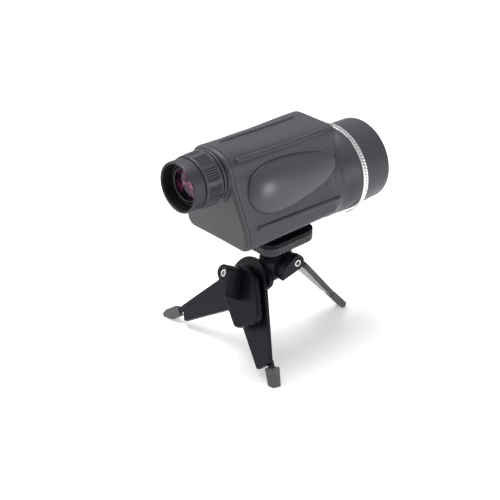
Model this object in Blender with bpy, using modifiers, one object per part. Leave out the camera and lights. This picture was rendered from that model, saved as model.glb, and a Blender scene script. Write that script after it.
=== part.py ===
"""Compact zoom spotting scope on a folding table-top tripod.

Every piece is a separate object.  Lengths are millimetres, turned into metres by MM.
World frame: +Z up, +Y from eyepiece to objective, ground at Z = 0, origin under the
middle of the whole object.

The scope is laid out from the point where the objective axis meets the rear edge of the
bright trim ring (scope frame).  The tripod is laid out from a point on the ground just
behind the head axis (tripod frame, turned TRIPOD_YAW).
"""
import bpy
import bmesh
import math
from mathutils import Vector

MM = 0.001

# ---------------------------------------------------------------- driving dimensions
FIT = 0.3               # play between mating parts, per side

# scope
AXIS_H = 107.0          # objective axis above the ground
SCOPE_X = 7.107         # objective axis in the world
SCOPE_Y = 51.8          # rear edge of the trim ring in the world
EYE_Z = 29.8            # eyepiece axis above the objective axis
RING_R = 31.0           # bright trim ring
RING_L = 5.1
BORE_R = 27.0           # bore of the housing barrel

# tripod
HEAD_Y = -54.0          # head axis, from the trim ring
TRIPOD_Y = -60.0        # tripod frame origin, from the trim ring
TRIPOD_YAW = -5.2       # degrees
BALL_Z = 57.0           # ball centre above the ground
BALL_R = 4.3
HUB_X = (HEAD_Y - TRIPOD_Y) * math.sin(math.radians(TRIPOD_YAW))    # head axis in the tripod frame
HUB_Y = (HEAD_Y - TRIPOD_Y) * math.cos(math.radians(TRIPOD_YAW))

LEAN_SIN, LEAN_COS = 0.878, 0.478       # slope of the plane of the two rear legs
LEAN_ANGLE = math.degrees(math.atan2(LEAN_SIN, LEAN_COS))
LEAN_Y = -34.6                          # where that plane meets the ground
REAR_PIN = (-8.0, 53.0)                 # common hinge pin of the rear legs, in their plane
LEG_T = 3.3                             # rear leg thickness
LEG_OFF = 0.15                          # inner face of each rear leg, from the leaning plane
LEG_END_HALF = 6.3                      # half width of a leg blade at its end

FRONT_X = -2.0                          # hinge pin of the front leg
FRONT_Y, FRONT_Z = 16.5, 59.0
FRONT_ANGLE = math.radians(-49.5)       # its spread direction in the YZ plane

PIN_HOLE_R = 2.1
RECESS_R = 3.9                          # recess round a screw head
CUT_END = 30.0                          # a through cutter runs this far past its pin

ACROSS = (0, 90, 0)                     # local Z turned along +X
PROFILE_YZ = (90, 0, 90)                # outline XY laid on YZ, thickness along +X

# ---------------------------------------------------------------- clean start
for old in list(bpy.data.objects):
    bpy.data.objects.remove(old, do_unlink=True)

PARTS = bpy.data.collections.new("spotting_scope")
CUTTERS = bpy.data.collections.new("cutters")
bpy.context.scene.collection.children.link(PARTS)
bpy.context.scene.collection.children.link(CUTTERS)


# ---------------------------------------------------------------- materials
def material(name, colour, roughness, metallic=0.0):
    mat = bpy.data.materials.new(name)
    mat.use_nodes = True
    shader = mat.node_tree.nodes["Principled BSDF"]
    shader.inputs["Base Color"].default_value = (*colour, 1.0)
    shader.inputs["Roughness"].default_value = roughness
    shader.inputs["Metallic"].default_value = metallic
    return mat


ARMOUR = material("armour_charcoal", colour=(0.095, 0.095, 0.11), roughness=0.6)
COVER = material("cover_grey", colour=(0.12, 0.12, 0.125), roughness=0.6)
BARREL = material("barrel_black", colour=(0.06, 0.06, 0.068), roughness=0.55)
SILVER = material("silver_ring", colour=(0.8, 0.8, 0.8), roughness=0.25, metallic=1.0)
ALLOY = material("black_alloy", colour=(0.05, 0.05, 0.05), roughness=0.4, metallic=1.0)
GLASS = material("coated_glass", colour=(0.5, 0.35, 0.5), roughness=0.05)
CROWN = material("prism_glass", colour=(0.7, 0.8, 0.8), roughness=0.05)
BRASS = material("brass", colour=(0.6, 0.45, 0.2), roughness=0.35, metallic=1.0)
STEEL = material("steel", colour=(0.55, 0.55, 0.55), roughness=0.3, metallic=1.0)
TRIPOD = material("tripod_plastic", colour=(0.03, 0.03, 0.035), roughness=0.4)
RUBBER = material("grey_rubber", colour=(0.11, 0.11, 0.12), roughness=0.75)
PAD = material("pad_rubber", colour=(0.02, 0.02, 0.022), roughness=0.5)
CUTTER = None           # given in place of a material: the piece is a hidden boolean tool


# ---------------------------------------------------------------- placing
def place(name, data, parent, loc, rot, collection=PARTS):
    """Object at loc (millimetres) and rot (degrees) in its parent's frame."""
    item = bpy.data.objects.new(name, data)
    collection.objects.link(item)
    item.parent = parent
    item.location = Vector(loc) * MM
    item.rotation_euler = [math.radians(angle) for angle in rot]
    return item


def frame(name, loc, rot=(0, 0, 0), parent=None):
    empty = place(name, None, parent, loc, rot)
    empty.empty_display_size = 0.01
    return empty


def piece(name, mesh, mat, parent, loc=(0, 0, 0), rot=(0, 0, 0)):
    if mat is not CUTTER:
        mesh.materials.append(mat)
        return place(name, mesh, parent, loc, rot)
    tool = place(name, mesh, parent, loc, rot, CUTTERS)
    tool.hide_render = True
    tool.display_type = 'WIRE'
    return tool


def boolean(target, operation, tools):
    for tool in tools:
        mod = target.modifiers.new(operation.lower() + "_" + tool.name, 'BOOLEAN')
        mod.operation = operation
        mod.object = tool
        mod.solver = 'EXACT'


def join(target, *tools):
    boolean(target, 'UNION', tools)


def carve(target, *tools):
    boolean(target, 'DIFFERENCE', tools)


# ---------------------------------------------------------------- solids
def to_mesh(bm, name):
    bmesh.ops.recalc_face_normals(bm, faces=bm.faces)
    mesh = bpy.data.meshes.new(name)
    bm.to_mesh(mesh)
    bm.free()
    return mesh


def lathe(name, profile, mat, parent, loc=(0, 0, 0), rot=(0, 0, 0), steps=32):
    """Turned piece: (radius, height) profile about local Z by a Screw modifier.
    A profile that begins and ends at radius 0 is a solid, else it is a closed ring."""
    area = sum(r0 * z1 - r1 * z0
               for (r0, z0), (r1, z1) in zip(profile, profile[1:] + profile[:1]))
    points = profile if area < 0 else profile[::-1]
    last = len(points) - 1
    edges = [(i, i + 1) for i in range(last)]
    solid = points[0][0] < 1e-6 and points[-1][0] < 1e-6
    if not solid:
        edges.append((last, 0))
    mesh = bpy.data.meshes.new(name)
    mesh.from_pydata([(r * MM, 0, z * MM) for r, z in points], edges, [])
    turned = piece(name, mesh, mat, parent, loc, rot)
    screw = turned.modifiers.new("turn", 'SCREW')
    screw.axis = 'Z'
    screw.steps = screw.render_steps = steps
    screw.use_merge_vertices = True
    screw.merge_threshold = 0.00001
    screw.use_smooth_shade = True
    weld = turned.modifiers.new("weld", 'WELD')
    weld.merge_threshold = 0.00001
    return turned


def band(r_in, r_out, z0, z1):
    """Rectangular lathe profile; r_in 0 makes a rod."""
    return [(r_in, z0), (r_out, z0), (r_out, z1), (r_in, z1)]


def box_cutter(name, low, high, parent, loc=(0, 0, 0), rot=(0, 0, 0)):
    bm = bmesh.new()
    bmesh.ops.create_cube(bm, size=1.0)
    for vert in bm.verts:
        vert.co = Vector([(lo + (unit + 0.5) * (hi - lo)) * MM
                          for unit, lo, hi in zip(vert.co, low, high)])
    return piece(name, to_mesh(bm, name), CUTTER, parent, loc, rot)


def plate(name, outline, z0, z1, mat, parent, loc=(0, 0, 0), rot=(0, 0, 0), holes=()):
    """Flat outline in local XY, from z0 to z1: a filled 2D curve turned into a mesh."""
    curve = bpy.data.curves.new(name + "_outline", 'CURVE')
    curve.dimensions = '2D'
    curve.fill_mode = 'BOTH'
    curve.extrude = (z1 - z0) / 2 * MM
    for loop in [outline, *holes]:
        spline = curve.splines.new('POLY')
        spline.points.add(len(loop) - 1)
        for point, (x, y) in zip(spline.points, loop):
            point.co = (x * MM, y * MM, 0, 1)
        spline.use_cyclic_u = True
    holder = bpy.data.objects.new(name + "_curve", curve)
    PARTS.objects.link(holder)
    bpy.context.view_layer.update()
    depsgraph = bpy.context.evaluated_depsgraph_get()
    mesh = bpy.data.meshes.new_from_object(holder.evaluated_get(depsgraph))
    bpy.data.objects.remove(holder, do_unlink=True)
    mesh.name = name
    bm = bmesh.new()
    bm.from_mesh(mesh)
    bmesh.ops.remove_doubles(bm, verts=bm.verts, dist=1e-6)
    bmesh.ops.translate(bm, verts=bm.verts, vec=(0, 0, (z0 + z1) / 2 * MM))
    bmesh.ops.recalc_face_normals(bm, faces=bm.faces)
    bm.to_mesh(mesh)
    bm.free()
    return piece(name, mesh, mat, parent, loc, rot)


def loft(name, rings, mat, parent):
    """Skin between unlike sections that have the same number of points."""
    bm = bmesh.new()
    rows = [[bm.verts.new(Vector(point) * MM) for point in ring] for ring in rings]
    count = len(rows[0])
    for near, far in zip(rows, rows[1:]):
        for i in range(count):
            k = (i + 1) % count
            bm.faces.new((near[i], near[k], far[k], far[i]))
    bm.faces.new(rows[0])
    bm.faces.new(rows[-1][::-1])
    return piece(name, to_mesh(bm, name), mat, parent)


def hull(name, points, mat, parent):
    """Convex solid round the points."""
    bm = bmesh.new()
    for point in points:
        bm.verts.new(Vector(point) * MM)
    result = bmesh.ops.convex_hull(bm, input=bm.verts)
    spare = {geom for geom in result["geom_interior"] + result["geom_unused"]
             if isinstance(geom, bmesh.types.BMVert)}
    bmesh.ops.delete(bm, geom=list(spare), context='VERTS')
    bmesh.ops.dissolve_limit(bm, angle_limit=0.002, verts=bm.verts, edges=bm.edges)
    return piece(name, to_mesh(bm, name), mat, parent)


# ---------------------------------------------------------------- outlines
def circle(cx, cy, radius, count, start=0.0, end=360.0, closed=True):
    """Points round a circle, or along an arc with both ends if not closed."""
    spaces = count if closed else count - 1
    angles = [math.radians(start + (end - start) * i / spaces) for i in range(count)]
    return [(cx + radius * math.cos(a), cy + radius * math.sin(a)) for a in angles]


def round_rect(half_x, half_y, radius):
    points = []
    for side_x, side_y, start in ((1, 1, 0), (-1, 1, 90), (-1, -1, 180), (1, -1, 270)):
        points += circle(side_x * (half_x - radius), side_y * (half_y - radius), radius, 5,
                         start, start + 90, closed=False)
    return points


def hull_outline(points):
    """Convex outline round 2D points, counter-clockwise."""
    points = sorted({(round(x, 6), round(y, 6)) for x, y in points})

    def turns_left(a, b, c):
        return (b[0] - a[0]) * (c[1] - a[1]) - (b[1] - a[1]) * (c[0] - a[0]) > 1e-9

    def chain(sequence):
        kept = []
        for point in sequence:
            while len(kept) > 1 and not turns_left(kept[-2], kept[-1], point):
                kept.pop()
            kept.append(point)
        return kept[:-1]

    return chain(points) + chain(points[::-1])


# ---------------------------------------------------------------- frames
scope = frame("scope_frame", (SCOPE_X, SCOPE_Y, AXIS_H))
ground = frame("tripod_frame", (SCOPE_X, SCOPE_Y + TRIPOD_Y, 0), (0, 0, TRIPOD_YAW))
# leaning plane: local Y runs up and forward in it, local Z points up and rearward
lean = frame("rear_leg_plane", (0, LEAN_Y, 0), (LEAN_ANGLE, 0, 0), ground)
left_pivot = frame("left_leg_hinge", (*REAR_PIN, 0), parent=lean)
front_pivot = frame("front_leg_hinge", (FRONT_X, FRONT_Y, FRONT_Z), parent=ground)
# front leg plane: local Y forward and down along the leg, local Z up and forward
front_plane = frame("front_leg_plane", (0, 0, 0), (math.degrees(FRONT_ANGLE), 0, 0), front_pivot)
pan_axis = frame("head_pan_axis", (SCOPE_X, SCOPE_Y + HEAD_Y, BALL_Z))
tilt_axis = frame("head_tilt_axis", (SCOPE_X, SCOPE_Y + HEAD_Y, BALL_Z))
# optical axes: local Z = world +Y
eye = frame("eyepiece_axis", (0, 0, EYE_Z), (-90, 0, 0), scope)
objective = frame("objective_axis", (0, 0, 0), (-90, 0, 0), scope)

# ---------------------------------------------------------------- housing
REAR_Y = -97.0          # rear seam at the bottom edge
REAR_SLANT = 6.0 / 64.0
BODY_BOTTOM = -16.0
WALL = 1.3
ROOF_FRONT_Y = -13.0
SHOULDER_X, SHOULDER_Z = 18.6, 31.5     # top of the sloping side
FLANK_FLARE = 9.4                       # how much wider it is at the objective axis
SOCKET_R = 5.5                          # threaded tripod socket


def flank_x(z):
    return SHOULDER_X + (SHOULDER_Z - z) * FLANK_FLARE / SHOULDER_Z


def half_section(crown, inset=0.0):
    """Right half of the housing section as (x, z), top to bottom."""
    rise = crown - 43
    points = [(0, crown), (6.5, crown - 0.6 - rise * 0.25), (12.0, crown - 1.9 - rise * 0.45),
              (15.2, 41.0), (17.3, 39.0), (18.3, 36.0), (SHOULDER_X, SHOULDER_Z),
              (flank_x(21), 21.0), (flank_x(10), 10.0), (28.0, 0.0), (28.4, -4.0),
              (28.2, -10.0), (26.6, -14.2), (22.5, BODY_BOTTOM), (0, BODY_BOTTOM)]
    if not inset:
        return points
    # each point moves square to the line between its neighbours, mirrored at the ends
    ahead_of_first = (-points[1][0], points[1][1])
    after_last = (-points[-2][0], points[-2][1])
    padded = [ahead_of_first, *points, after_last]
    moved = []
    for before, (x, z), after in zip(padded, points, padded[2:]):
        tangent = Vector((after[0] - before[0], after[1] - before[1])).normalized()
        moved.append((max(0.0, x + tangent.y * inset), z - tangent.x * inset))
    moved[0] = (0, moved[0][1])
    moved[-1] = (0, moved[-1][1])
    return moved


def full_section(crown, inset):
    half = half_section(crown, inset)
    return half + [(-x, z) for x, z in reversed(half[1:-1])]


def section(y, crown, inset=0.0, slant=0.0, drop=0.0):
    """Section ring at y; slant leans it rearward with height, drop lowers its upper part."""
    return [(x, y - (z - BODY_BOTTOM) * slant, z - max(0.0, z) * drop)
            for x, z in full_section(crown, inset)]


def build_main_body():
    body = loft("main_body", [
        section(REAR_Y, 47.8, slant=REAR_SLANT), section(-84, 45.6), section(-60, 44.6),
        section(-30, 43.4), section(-18, 42.0),
        section(ROOF_FRONT_Y - 1.2, 41.0, inset=1.2, drop=0.02),
        section(ROOF_FRONT_Y, 40.0, inset=3.0, drop=0.05)], ARMOUR, scope)
    cavity = loft("cavity", [
        section(REAR_Y - 9, 47.8, WALL, REAR_SLANT), section(-84, 45.6, WALL),
        section(-60, 44.6, WALL), section(-30, 43.4, WALL), section(-17, 41.5, WALL + 0.5)],
        CUTTER, scope)
    barrel_core = lathe("barrel_core", [
        (0, -37), (21.0, -37), (28.3, -18), (28.5, -4.0), (30.4, -1.8), (30.4, -0.4), (0, -0.4)],
        CUTTER, objective, steps=40)
    belly_boss = lathe("belly_boss", [(0, -24.0), (8.5, -24.0), (9.5, -15), (0, -15)],
                       CUTTER, scope, (0, HEAD_Y, 0), steps=24)
    bore = lathe("bore", [
        (0, -46), (19.4, -46), (19.4, -36.6), (26.2, -18), (BORE_R, -15), (BORE_R, 6), (0, 6)],
        CUTTER, objective, steps=40)
    socket_hole = lathe("socket_hole", band(0, SOCKET_R + FIT, -30, -10),
                        CUTTER, scope, (0, HEAD_Y, 0), steps=20)
    carve(body, cavity)
    join(body, barrel_core, belly_boss)
    carve(body, bore, socket_hole)


# Egg-shaped grip, in the sloping side
GRIP_Y = -56.3
GRIP_DROP = 0.40        # its centre below the shoulder, as a share of SHOULDER_Z
GRIP_HALF_L, GRIP_HALF_H = 37.2, 15.2
GRIP_TAPER = 0.22       # narrower towards the objective, blunt towards the eyepiece
GRIP_TOP = 12.6         # flattened here to stay below the shoulder
GRIP_LAYERS = ((1.0, 0.35), (0.97, 1.2), (0.72, 2.3), (0.3, 2.9))   # (scale, height off the side)


def grip(name, side):
    count = 20
    outward = Vector((SHOULDER_Z, 0, FLANK_FLARE)).normalized()
    up = Vector((-FLANK_FLARE, 0, SHOULDER_Z)).normalized()
    centre = Vector((SHOULDER_X + FLANK_FLARE * GRIP_DROP, GRIP_Y,
                     SHOULDER_Z - SHOULDER_Z * GRIP_DROP))
    rings = []
    for scale, height in GRIP_LAYERS:
        ring = []
        for i in range(count):
            angle = 2 * math.pi * i / count
            half_height = GRIP_HALF_H * (1 - GRIP_TAPER * math.cos(angle))
            rise = min(half_height * math.sin(angle) * scale, GRIP_TOP)
            along = Vector((0, 1, 0)) * (GRIP_HALF_L * scale * math.cos(angle))
            point = centre + along + up * rise + outward * height
            ring.append((side * point.x, point.y, point.z))
        rings.append(ring)
    loft(name, rings, RUBBER, scope)


build_main_body()
grip("side_grip_right", 1)
grip("side_grip_left", -1)
lathe("tripod_socket", band(3.5, SOCKET_R, -23.8, -15.0), BRASS, scope, (0, HEAD_Y, 0), steps=20)

# ---------------------------------------------------------------- rear cover
EYE_TUBE_R, EYE_TUBE_RI = 13.3, 11.9    # eyepiece barrel
EYE_BORE_R = EYE_TUBE_R + FIT           # bore of what fits round it


def build_rear_cover():
    """Slanted plate that carries the eyepiece."""
    # (distance behind the rear seam, crown height, inset)
    stations = ((2.6, 47.2, 2.4), (1.9, 47.5, 0.9), (1.0, 47.6, 0.1), (0.3, 47.6, 0.1))
    cover = loft("rear_cover", [section(REAR_Y - behind, crown, inset, REAR_SLANT)
                                for behind, crown, inset in stations], COVER, scope)
    neck = lathe("cover_neck", band(0, 18.0, -105.6, -97.0), CUTTER, eye)
    cover_bore = lathe("cover_bore", band(0, EYE_BORE_R, -112, -90), CUTTER, eye)
    # block with a slanted rear face: takes off what lies on the body side of the seam
    low, high, half_x, front = -40, 70, 50, -60
    seam_low, seam_high = (REAR_Y - 0.3 - (z - BODY_BOTTOM) * REAR_SLANT for z in (low, high))
    body_side = loft("body_side", [
        [(-half_x, y_low, low), (half_x, y_low, low), (half_x, y_high, high), (-half_x, y_high, high)]
        for y_low, y_high in ((seam_low, seam_high), (front, front))], CUTTER, scope)
    join(cover, neck)
    carve(cover, body_side, cover_bore)


build_rear_cover()

# ---------------------------------------------------------------- objective end
HOOD_Y = 27.4                   # front rim of the focusing barrel
HOOD_REAR_R, HOOD_FRONT_R = 28.8, 28.0
FOCUS_R = BORE_R - FIT          # part of the focusing barrel inside the housing
FOCUS_RI = 25.8
LENS_R = 24.3

lathe("silver_trim_ring", [
    (BORE_R, 0), (RING_R - 0.4, 0), (RING_R, 0.5), (RING_R, RING_L - 0.5),
    (RING_R - 0.4, RING_L), (BORE_R, RING_L)], SILVER, objective, steps=48)
lathe("focus_barrel", [
    (FOCUS_RI, -12.0), (FOCUS_R, -12.0), (FOCUS_R, 5.4), (HOOD_REAR_R - 0.4, 5.4),
    (HOOD_REAR_R, 6.0), (28.5, 15.0), (HOOD_FRONT_R, HOOD_Y - 0.8),
    (HOOD_FRONT_R - 0.5, HOOD_Y), (FOCUS_RI, HOOD_Y)], BARREL, objective, steps=48)
lathe("objective_cell", [
    (22.6, -4.0), (FOCUS_RI - FIT, -4.0), (FOCUS_RI - FIT, 8.5), (LENS_R + FIT, 8.5),
    (LENS_R + FIT, -2.0), (22.6, -2.0)], ALLOY, objective, steps=36)
lathe("objective_crown_lens", [
    (0, 0.6), (LENS_R, 2.2), (LENS_R, 4.2), (17.5, 6.6), (10, 7.9), (0, 8.4)],
    GLASS, objective, steps=36)
lathe("objective_flint_lens", [
    (0, -1.0), (LENS_R, -1.6), (LENS_R, 1.8), (12, 0.6), (0, 0.3)], CROWN, objective, steps=36)
lathe("objective_retainer", [(23.2, 6.9), (LENS_R, 4.9), (LENS_R, 7.6), (23.2, 7.6)],
      ALLOY, objective, steps=36)
lathe("baffle_ring", [(16.5, -35.6), (19.0, -36.2), (19.0, -34.4), (16.5, -34.4)],
      ALLOY, objective, steps=24)

# ---------------------------------------------------------------- prisms
PLATE_Y = -67.0                 # rear face of the prism plate
PLATE_T = 2.0
PRISM_HALF = 15.5               # half length of the long face
PRISM_HALF_W = 5.2
PRISM_EDGE = 1.3                # straight edge beside the long face
PRISM_FLAT = 1.2                # half width of the blunted apex
CLIP_GAP, CLIP_OUTER = 0.4, 1.0     # inner and outer face of the clip, off the prism
CLIP_HALF_W = 2.2
MITRE = 0.41                    # corner shift per unit of offset
LIGHT_HOLE_R = 6.5


def prism_path(offset, side):
    """Prism outline from one end of the long face round the apex to the other."""
    end = PRISM_HALF + offset
    edge = side * (PRISM_EDGE + offset * MITRE)
    flat = PRISM_FLAT + offset * MITRE
    apex = side * (PRISM_HALF + PRISM_EDGE - PRISM_FLAT + offset)
    return [(end, 0), (end, edge), (flat, apex), (-flat, apex), (-end, edge), (-end, 0)]


def prism(name, z, turn, y, side):
    """Right-angle prism with its long face in an XZ plane at y, apex towards side * Y,
    and the bent spring strip over the apex."""
    seat = frame(name + "_seat", (EYE_Z / 4, y, z), (0, -turn, 0), scope)
    loft(name, [[(px, py, pz) for px, py in prism_path(0, side)]
                for pz in (-PRISM_HALF_W, PRISM_HALF_W)], CROWN, seat)
    plate(name + "_clip", prism_path(CLIP_OUTER, side) + prism_path(CLIP_GAP, side)[::-1],
          -CLIP_HALF_W, CLIP_HALF_W, STEEL, seat)


prism("rear_prism", EYE_Z / 4, 45, PLATE_Y - FIT, -1)
prism("front_prism", EYE_Z * 3 / 4, -45, PLATE_Y + PLATE_T + FIT, 1)
# the plate lies with its outline's Y pointing down
plate("prism_plate", [(x, -z) for x, z in full_section(44.6, WALL + 0.4)], 0.0, PLATE_T,
      ALLOY, scope, (0, PLATE_Y, 0), (-90, 0, 0),
      holes=[circle(x, -z, LIGHT_HOLE_R, 16)
             for x, z in ((0, 0), (EYE_Z / 2, EYE_Z / 2), (0, EYE_Z))])

# ---------------------------------------------------------------- eyepiece
EYECUP_Y = -131.0
EYECUP_R, EYECUP_RI = 16.4, 14.8
ZOOM_R = 17.5
ZOOM_Y0, ZOOM_Y1 = -118.2, -108.7
INNER_R = EYE_TUBE_RI - FIT     # what fits inside the eyepiece barrel


def build_zoom_slot():
    """Cutter for a slot that runs part of the way round the eyepiece barrel."""
    start, end = -10, 110
    cos_start, sin_start = math.cos(math.radians(start)), math.sin(math.radians(start))
    bm = bmesh.new()
    face = bm.faces.new([bm.verts.new((r * cos_start * MM, r * sin_start * MM, z * MM))
                         for r, z in band(9.0, 16.0, -113.0, -110.6)])
    bmesh.ops.spin(bm, geom=[face, *face.edges, *face.verts], cent=(0, 0, 0), axis=(0, 0, 1),
                   angle=math.radians(end - start), steps=10, use_duplicate=False)
    return piece("zoom_slot", to_mesh(bm, "zoom_slot"), CUTTER, eye)


def zoom_group(place_name, y):
    """Cell with a lip at its rear, and its lens."""
    lathe("zoom_cell_" + place_name, [
        (8.1, y), (10.4, y), (10.4, y + 6), (9.0, y + 6), (9.0, y + 1), (8.1, y + 1)],
        ALLOY, eye, steps=28)
    lathe("zoom_lens_" + place_name, [(0, y + 0.6), (8.7, y + 1.3), (8.7, y + 3.6), (0, y + 4.8)],
          GLASS, eye, steps=24)


eyepiece_barrel = lathe("eyepiece_barrel", band(EYE_TUBE_RI, EYE_TUBE_R, -122.8, -88.0),
                        ALLOY, eye, steps=40)
carve(eyepiece_barrel, build_zoom_slot())
lathe("eyepiece_collar", [
    (EYE_BORE_R, -108.4), (16.6, -108.4), (17.0, -108.0), (17.0, -105.9), (EYE_BORE_R, -105.9)],
    BARREL, eye, steps=40)
lathe("zoom_ring", [
    (EYE_BORE_R, ZOOM_Y0), (ZOOM_R - 0.4, ZOOM_Y0), (ZOOM_R, ZOOM_Y0 + 0.4),
    (ZOOM_R, ZOOM_Y1 - 0.4), (ZOOM_R - 0.4, ZOOM_Y1), (EYE_BORE_R, ZOOM_Y1)],
    BARREL, eye, steps=48)
lathe("zoom_cam_tube", band(10.7, INNER_R, -113.8, -89.0), BRASS, eye)
lathe("zoom_drive_pin", band(0, 0.9, EYE_TUBE_RI, EYE_TUBE_R), STEEL, eye, (0, 0, -111.8), ACROSS,
      steps=10)
lathe("eyecup", [
    (EYE_BORE_R, -118.5), (16.2, -118.5), (EYECUP_R, -119.5), (EYECUP_R, EYECUP_Y + 0.4),
    (EYECUP_R - 0.4, EYECUP_Y), (EYECUP_RI, EYECUP_Y + 0.3), (EYECUP_RI - 0.2, -123.6),
    (EYE_BORE_R, -122.6)], RUBBER, eye, steps=48)
lathe("eye_lens_retainer", [
    (9.8, -124.6), (10.4, -125.2), (13.9, -124.2), (13.9, -123.2), (9.8, -123.2)],
    BARREL, eye, steps=40)
lathe("eye_lens", [
    (0, -124.2), (5, -123.9), (9.2, -122.9), (INNER_R, -122.6), (INNER_R, -118.6),
    (6, -117.6), (0, -117.2)], GLASS, eye)
lathe("eye_lens_spacer", band(10.4, INNER_R, -118.2, -114.2), ALLOY, eye, steps=28)
zoom_group("rear", -112.6)
zoom_group("front", -99.0)
lathe("field_stop", band(7.0, INNER_R, -88.6, -87.4), ALLOY, eye, steps=24)

# ---------------------------------------------------------------- tripod head
PLATFORM_X, PLATFORM_Y = 20.6, 21.5     # half sizes
PLATFORM_DY = 1.5                       # platform centre ahead of the head axis
PLATFORM_Z0, PLATFORM_Z1 = 74.0, 79.9
PAD_Z0, PAD_Z1 = 80.2, 82.7
CAMERA_HOLE_R = 3.5
CUP_R = 5.6


def above_ball(z):
    """Height above the ball centre, from height above the ground."""
    return z - BALL_Z


def from_ball(profile):
    return [(r, above_ball(z)) for r, z in profile]


def ball_arc(radius, angles):
    """Lathe profile points on a ball; angles in degrees up from its lowest point."""
    return [(radius * math.sin(math.radians(a)), -radius * math.cos(math.radians(a)))
            for a in angles]


def skirt_ring(half_x, half_y, dy, z):
    """Ellipse ring, drawn out to a rounded rectangle unless it is small."""
    count = 24
    ring = []
    for i in range(count):
        angle = 2 * math.pi * i / count
        c, s = math.cos(angle), math.sin(angle)
        swell = (abs(c) ** 4 + abs(s) ** 4) ** -0.25 if min(half_x, half_y) > 10 else 1.0
        ring.append((half_x * c * swell, half_y * s * swell + dy, z))
    return ring


def build_platform():
    outline = [(x, y + PLATFORM_DY) for x, y in round_rect(PLATFORM_X, PLATFORM_Y, 8.5)]
    underside = above_ball(PLATFORM_Z0)
    plate("platform_pad", outline, above_ball(PAD_Z0), above_ball(PAD_Z1), PAD, tilt_axis,
          holes=[circle(0, 0, CAMERA_HOLE_R, 16)])
    platform = plate("platform_plate", outline, underside, above_ball(PLATFORM_Z1),
                     TRIPOD, tilt_axis)
    skirt = loft("skirt", [
        skirt_ring(7.2, 7.2, 0, above_ball(66.6)),
        skirt_ring(12.3, 12.6, PLATFORM_DY * 0.7, above_ball(70.2)),
        skirt_ring(16.6, 17.4, PLATFORM_DY, underside + 0.6)], CUTTER, tilt_axis)
    stud_hole = lathe("stud_hole", from_ball([
        (0, 60), (4.6, 60), (4.6, 76.0), (CAMERA_HOLE_R, 76.0), (CAMERA_HOLE_R, 90), (0, 90)]),
        CUTTER, tilt_axis, steps=20)
    join(platform, skirt)
    carve(platform, stud_hole)
    # flutes in the lower part of the two side edges
    pitch = 2.6
    for i in range(-5, 6):
        for side in (-1, 1):
            flute = lathe("flute_x%d_%d" % (i, side), band(0, 1.0, underside - 1, underside + 3.4),
                          CUTTER, tilt_axis,
                          (side * (PLATFORM_X + 0.25), PLATFORM_DY + i * pitch, 0), steps=8)
            carve(platform, flute)


def build_ball_cup():
    cup = lathe("ball_cup", from_ball(band(0, CUP_R, 48.6, 60.6)), ALLOY, pan_axis, steps=24)
    room_r = BALL_R + FIT
    room = lathe("ball_room", [
        (0, -room_r), *ball_arc(room_r, range(18, 91, 12)),
        (room_r, above_ball(62)), (0, above_ball(62))], CUTTER, pan_axis, steps=28)
    carve(cup, room)


build_platform()
lathe("camera_screw", from_ball([(0, 76.4), (3.1, 76.4), (3.1, 92.0), (2.5, 92.8), (0, 92.8)]),
      STEEL, tilt_axis, steps=20)
lathe("ball_stud", [
    (0, -BALL_R), *ball_arc(BALL_R, range(20, 151, 13)),
    *from_ball([(2.2, 61.4), (2.2, 64.2), (4.2, 65.4), (4.2, 75.6), (0, 75.6)])],
    STEEL, tilt_axis, steps=24)
build_ball_cup()
lathe("lock_collar", from_ball([
    (3.8, 60.9), (7.4, 60.9), (7.4, 61.8), (6.2, 62.8), (4.2, 62.8)]), BARREL, pan_axis, steps=28)

# ---------------------------------------------------------------- rear legs
# Outlines are (x, height in the leaning plane).
MAIN_HEAD = (-6.5, 52.0)        # centre of the main leg's round head
MAIN_HEAD_R = 16.0
MAIN_END = (37.8, 10.5)         # end of the main (right) blade
LEFT_START = (-18.8, 34.7)      # the left blade's direction runs from here
LEFT_END = (-46.6, 8.1)
HUB_R = 7.6
CHEEK_Z0 = LEG_OFF + LEG_T + FIT
CHEEK_Z1 = CHEEK_Z0 + 4.6
BOSS_TOP = 20.7

MAIN_DIR = (Vector(MAIN_END) - Vector(MAIN_HEAD)).normalized()
LEFT_DIR = (Vector(LEFT_END) - Vector(LEFT_START)).normalized()

# pin holes shared by hinged pieces
front_pin_hole = lathe("front_pin_hole", band(0, PIN_HOLE_R, -CUT_END, CUT_END),
                       CUTTER, front_pivot, rot=ACROSS, steps=16)
left_pin_hole = lathe("left_pin_hole", band(0, PIN_HOLE_R, -CUT_END, CUT_END),
                      CUTTER, left_pivot, steps=16)


def hub_lathe(name, profile, steps=24):
    return lathe(name, profile, CUTTER, ground, (HUB_X, HUB_Y, 0), steps=steps)


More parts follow.
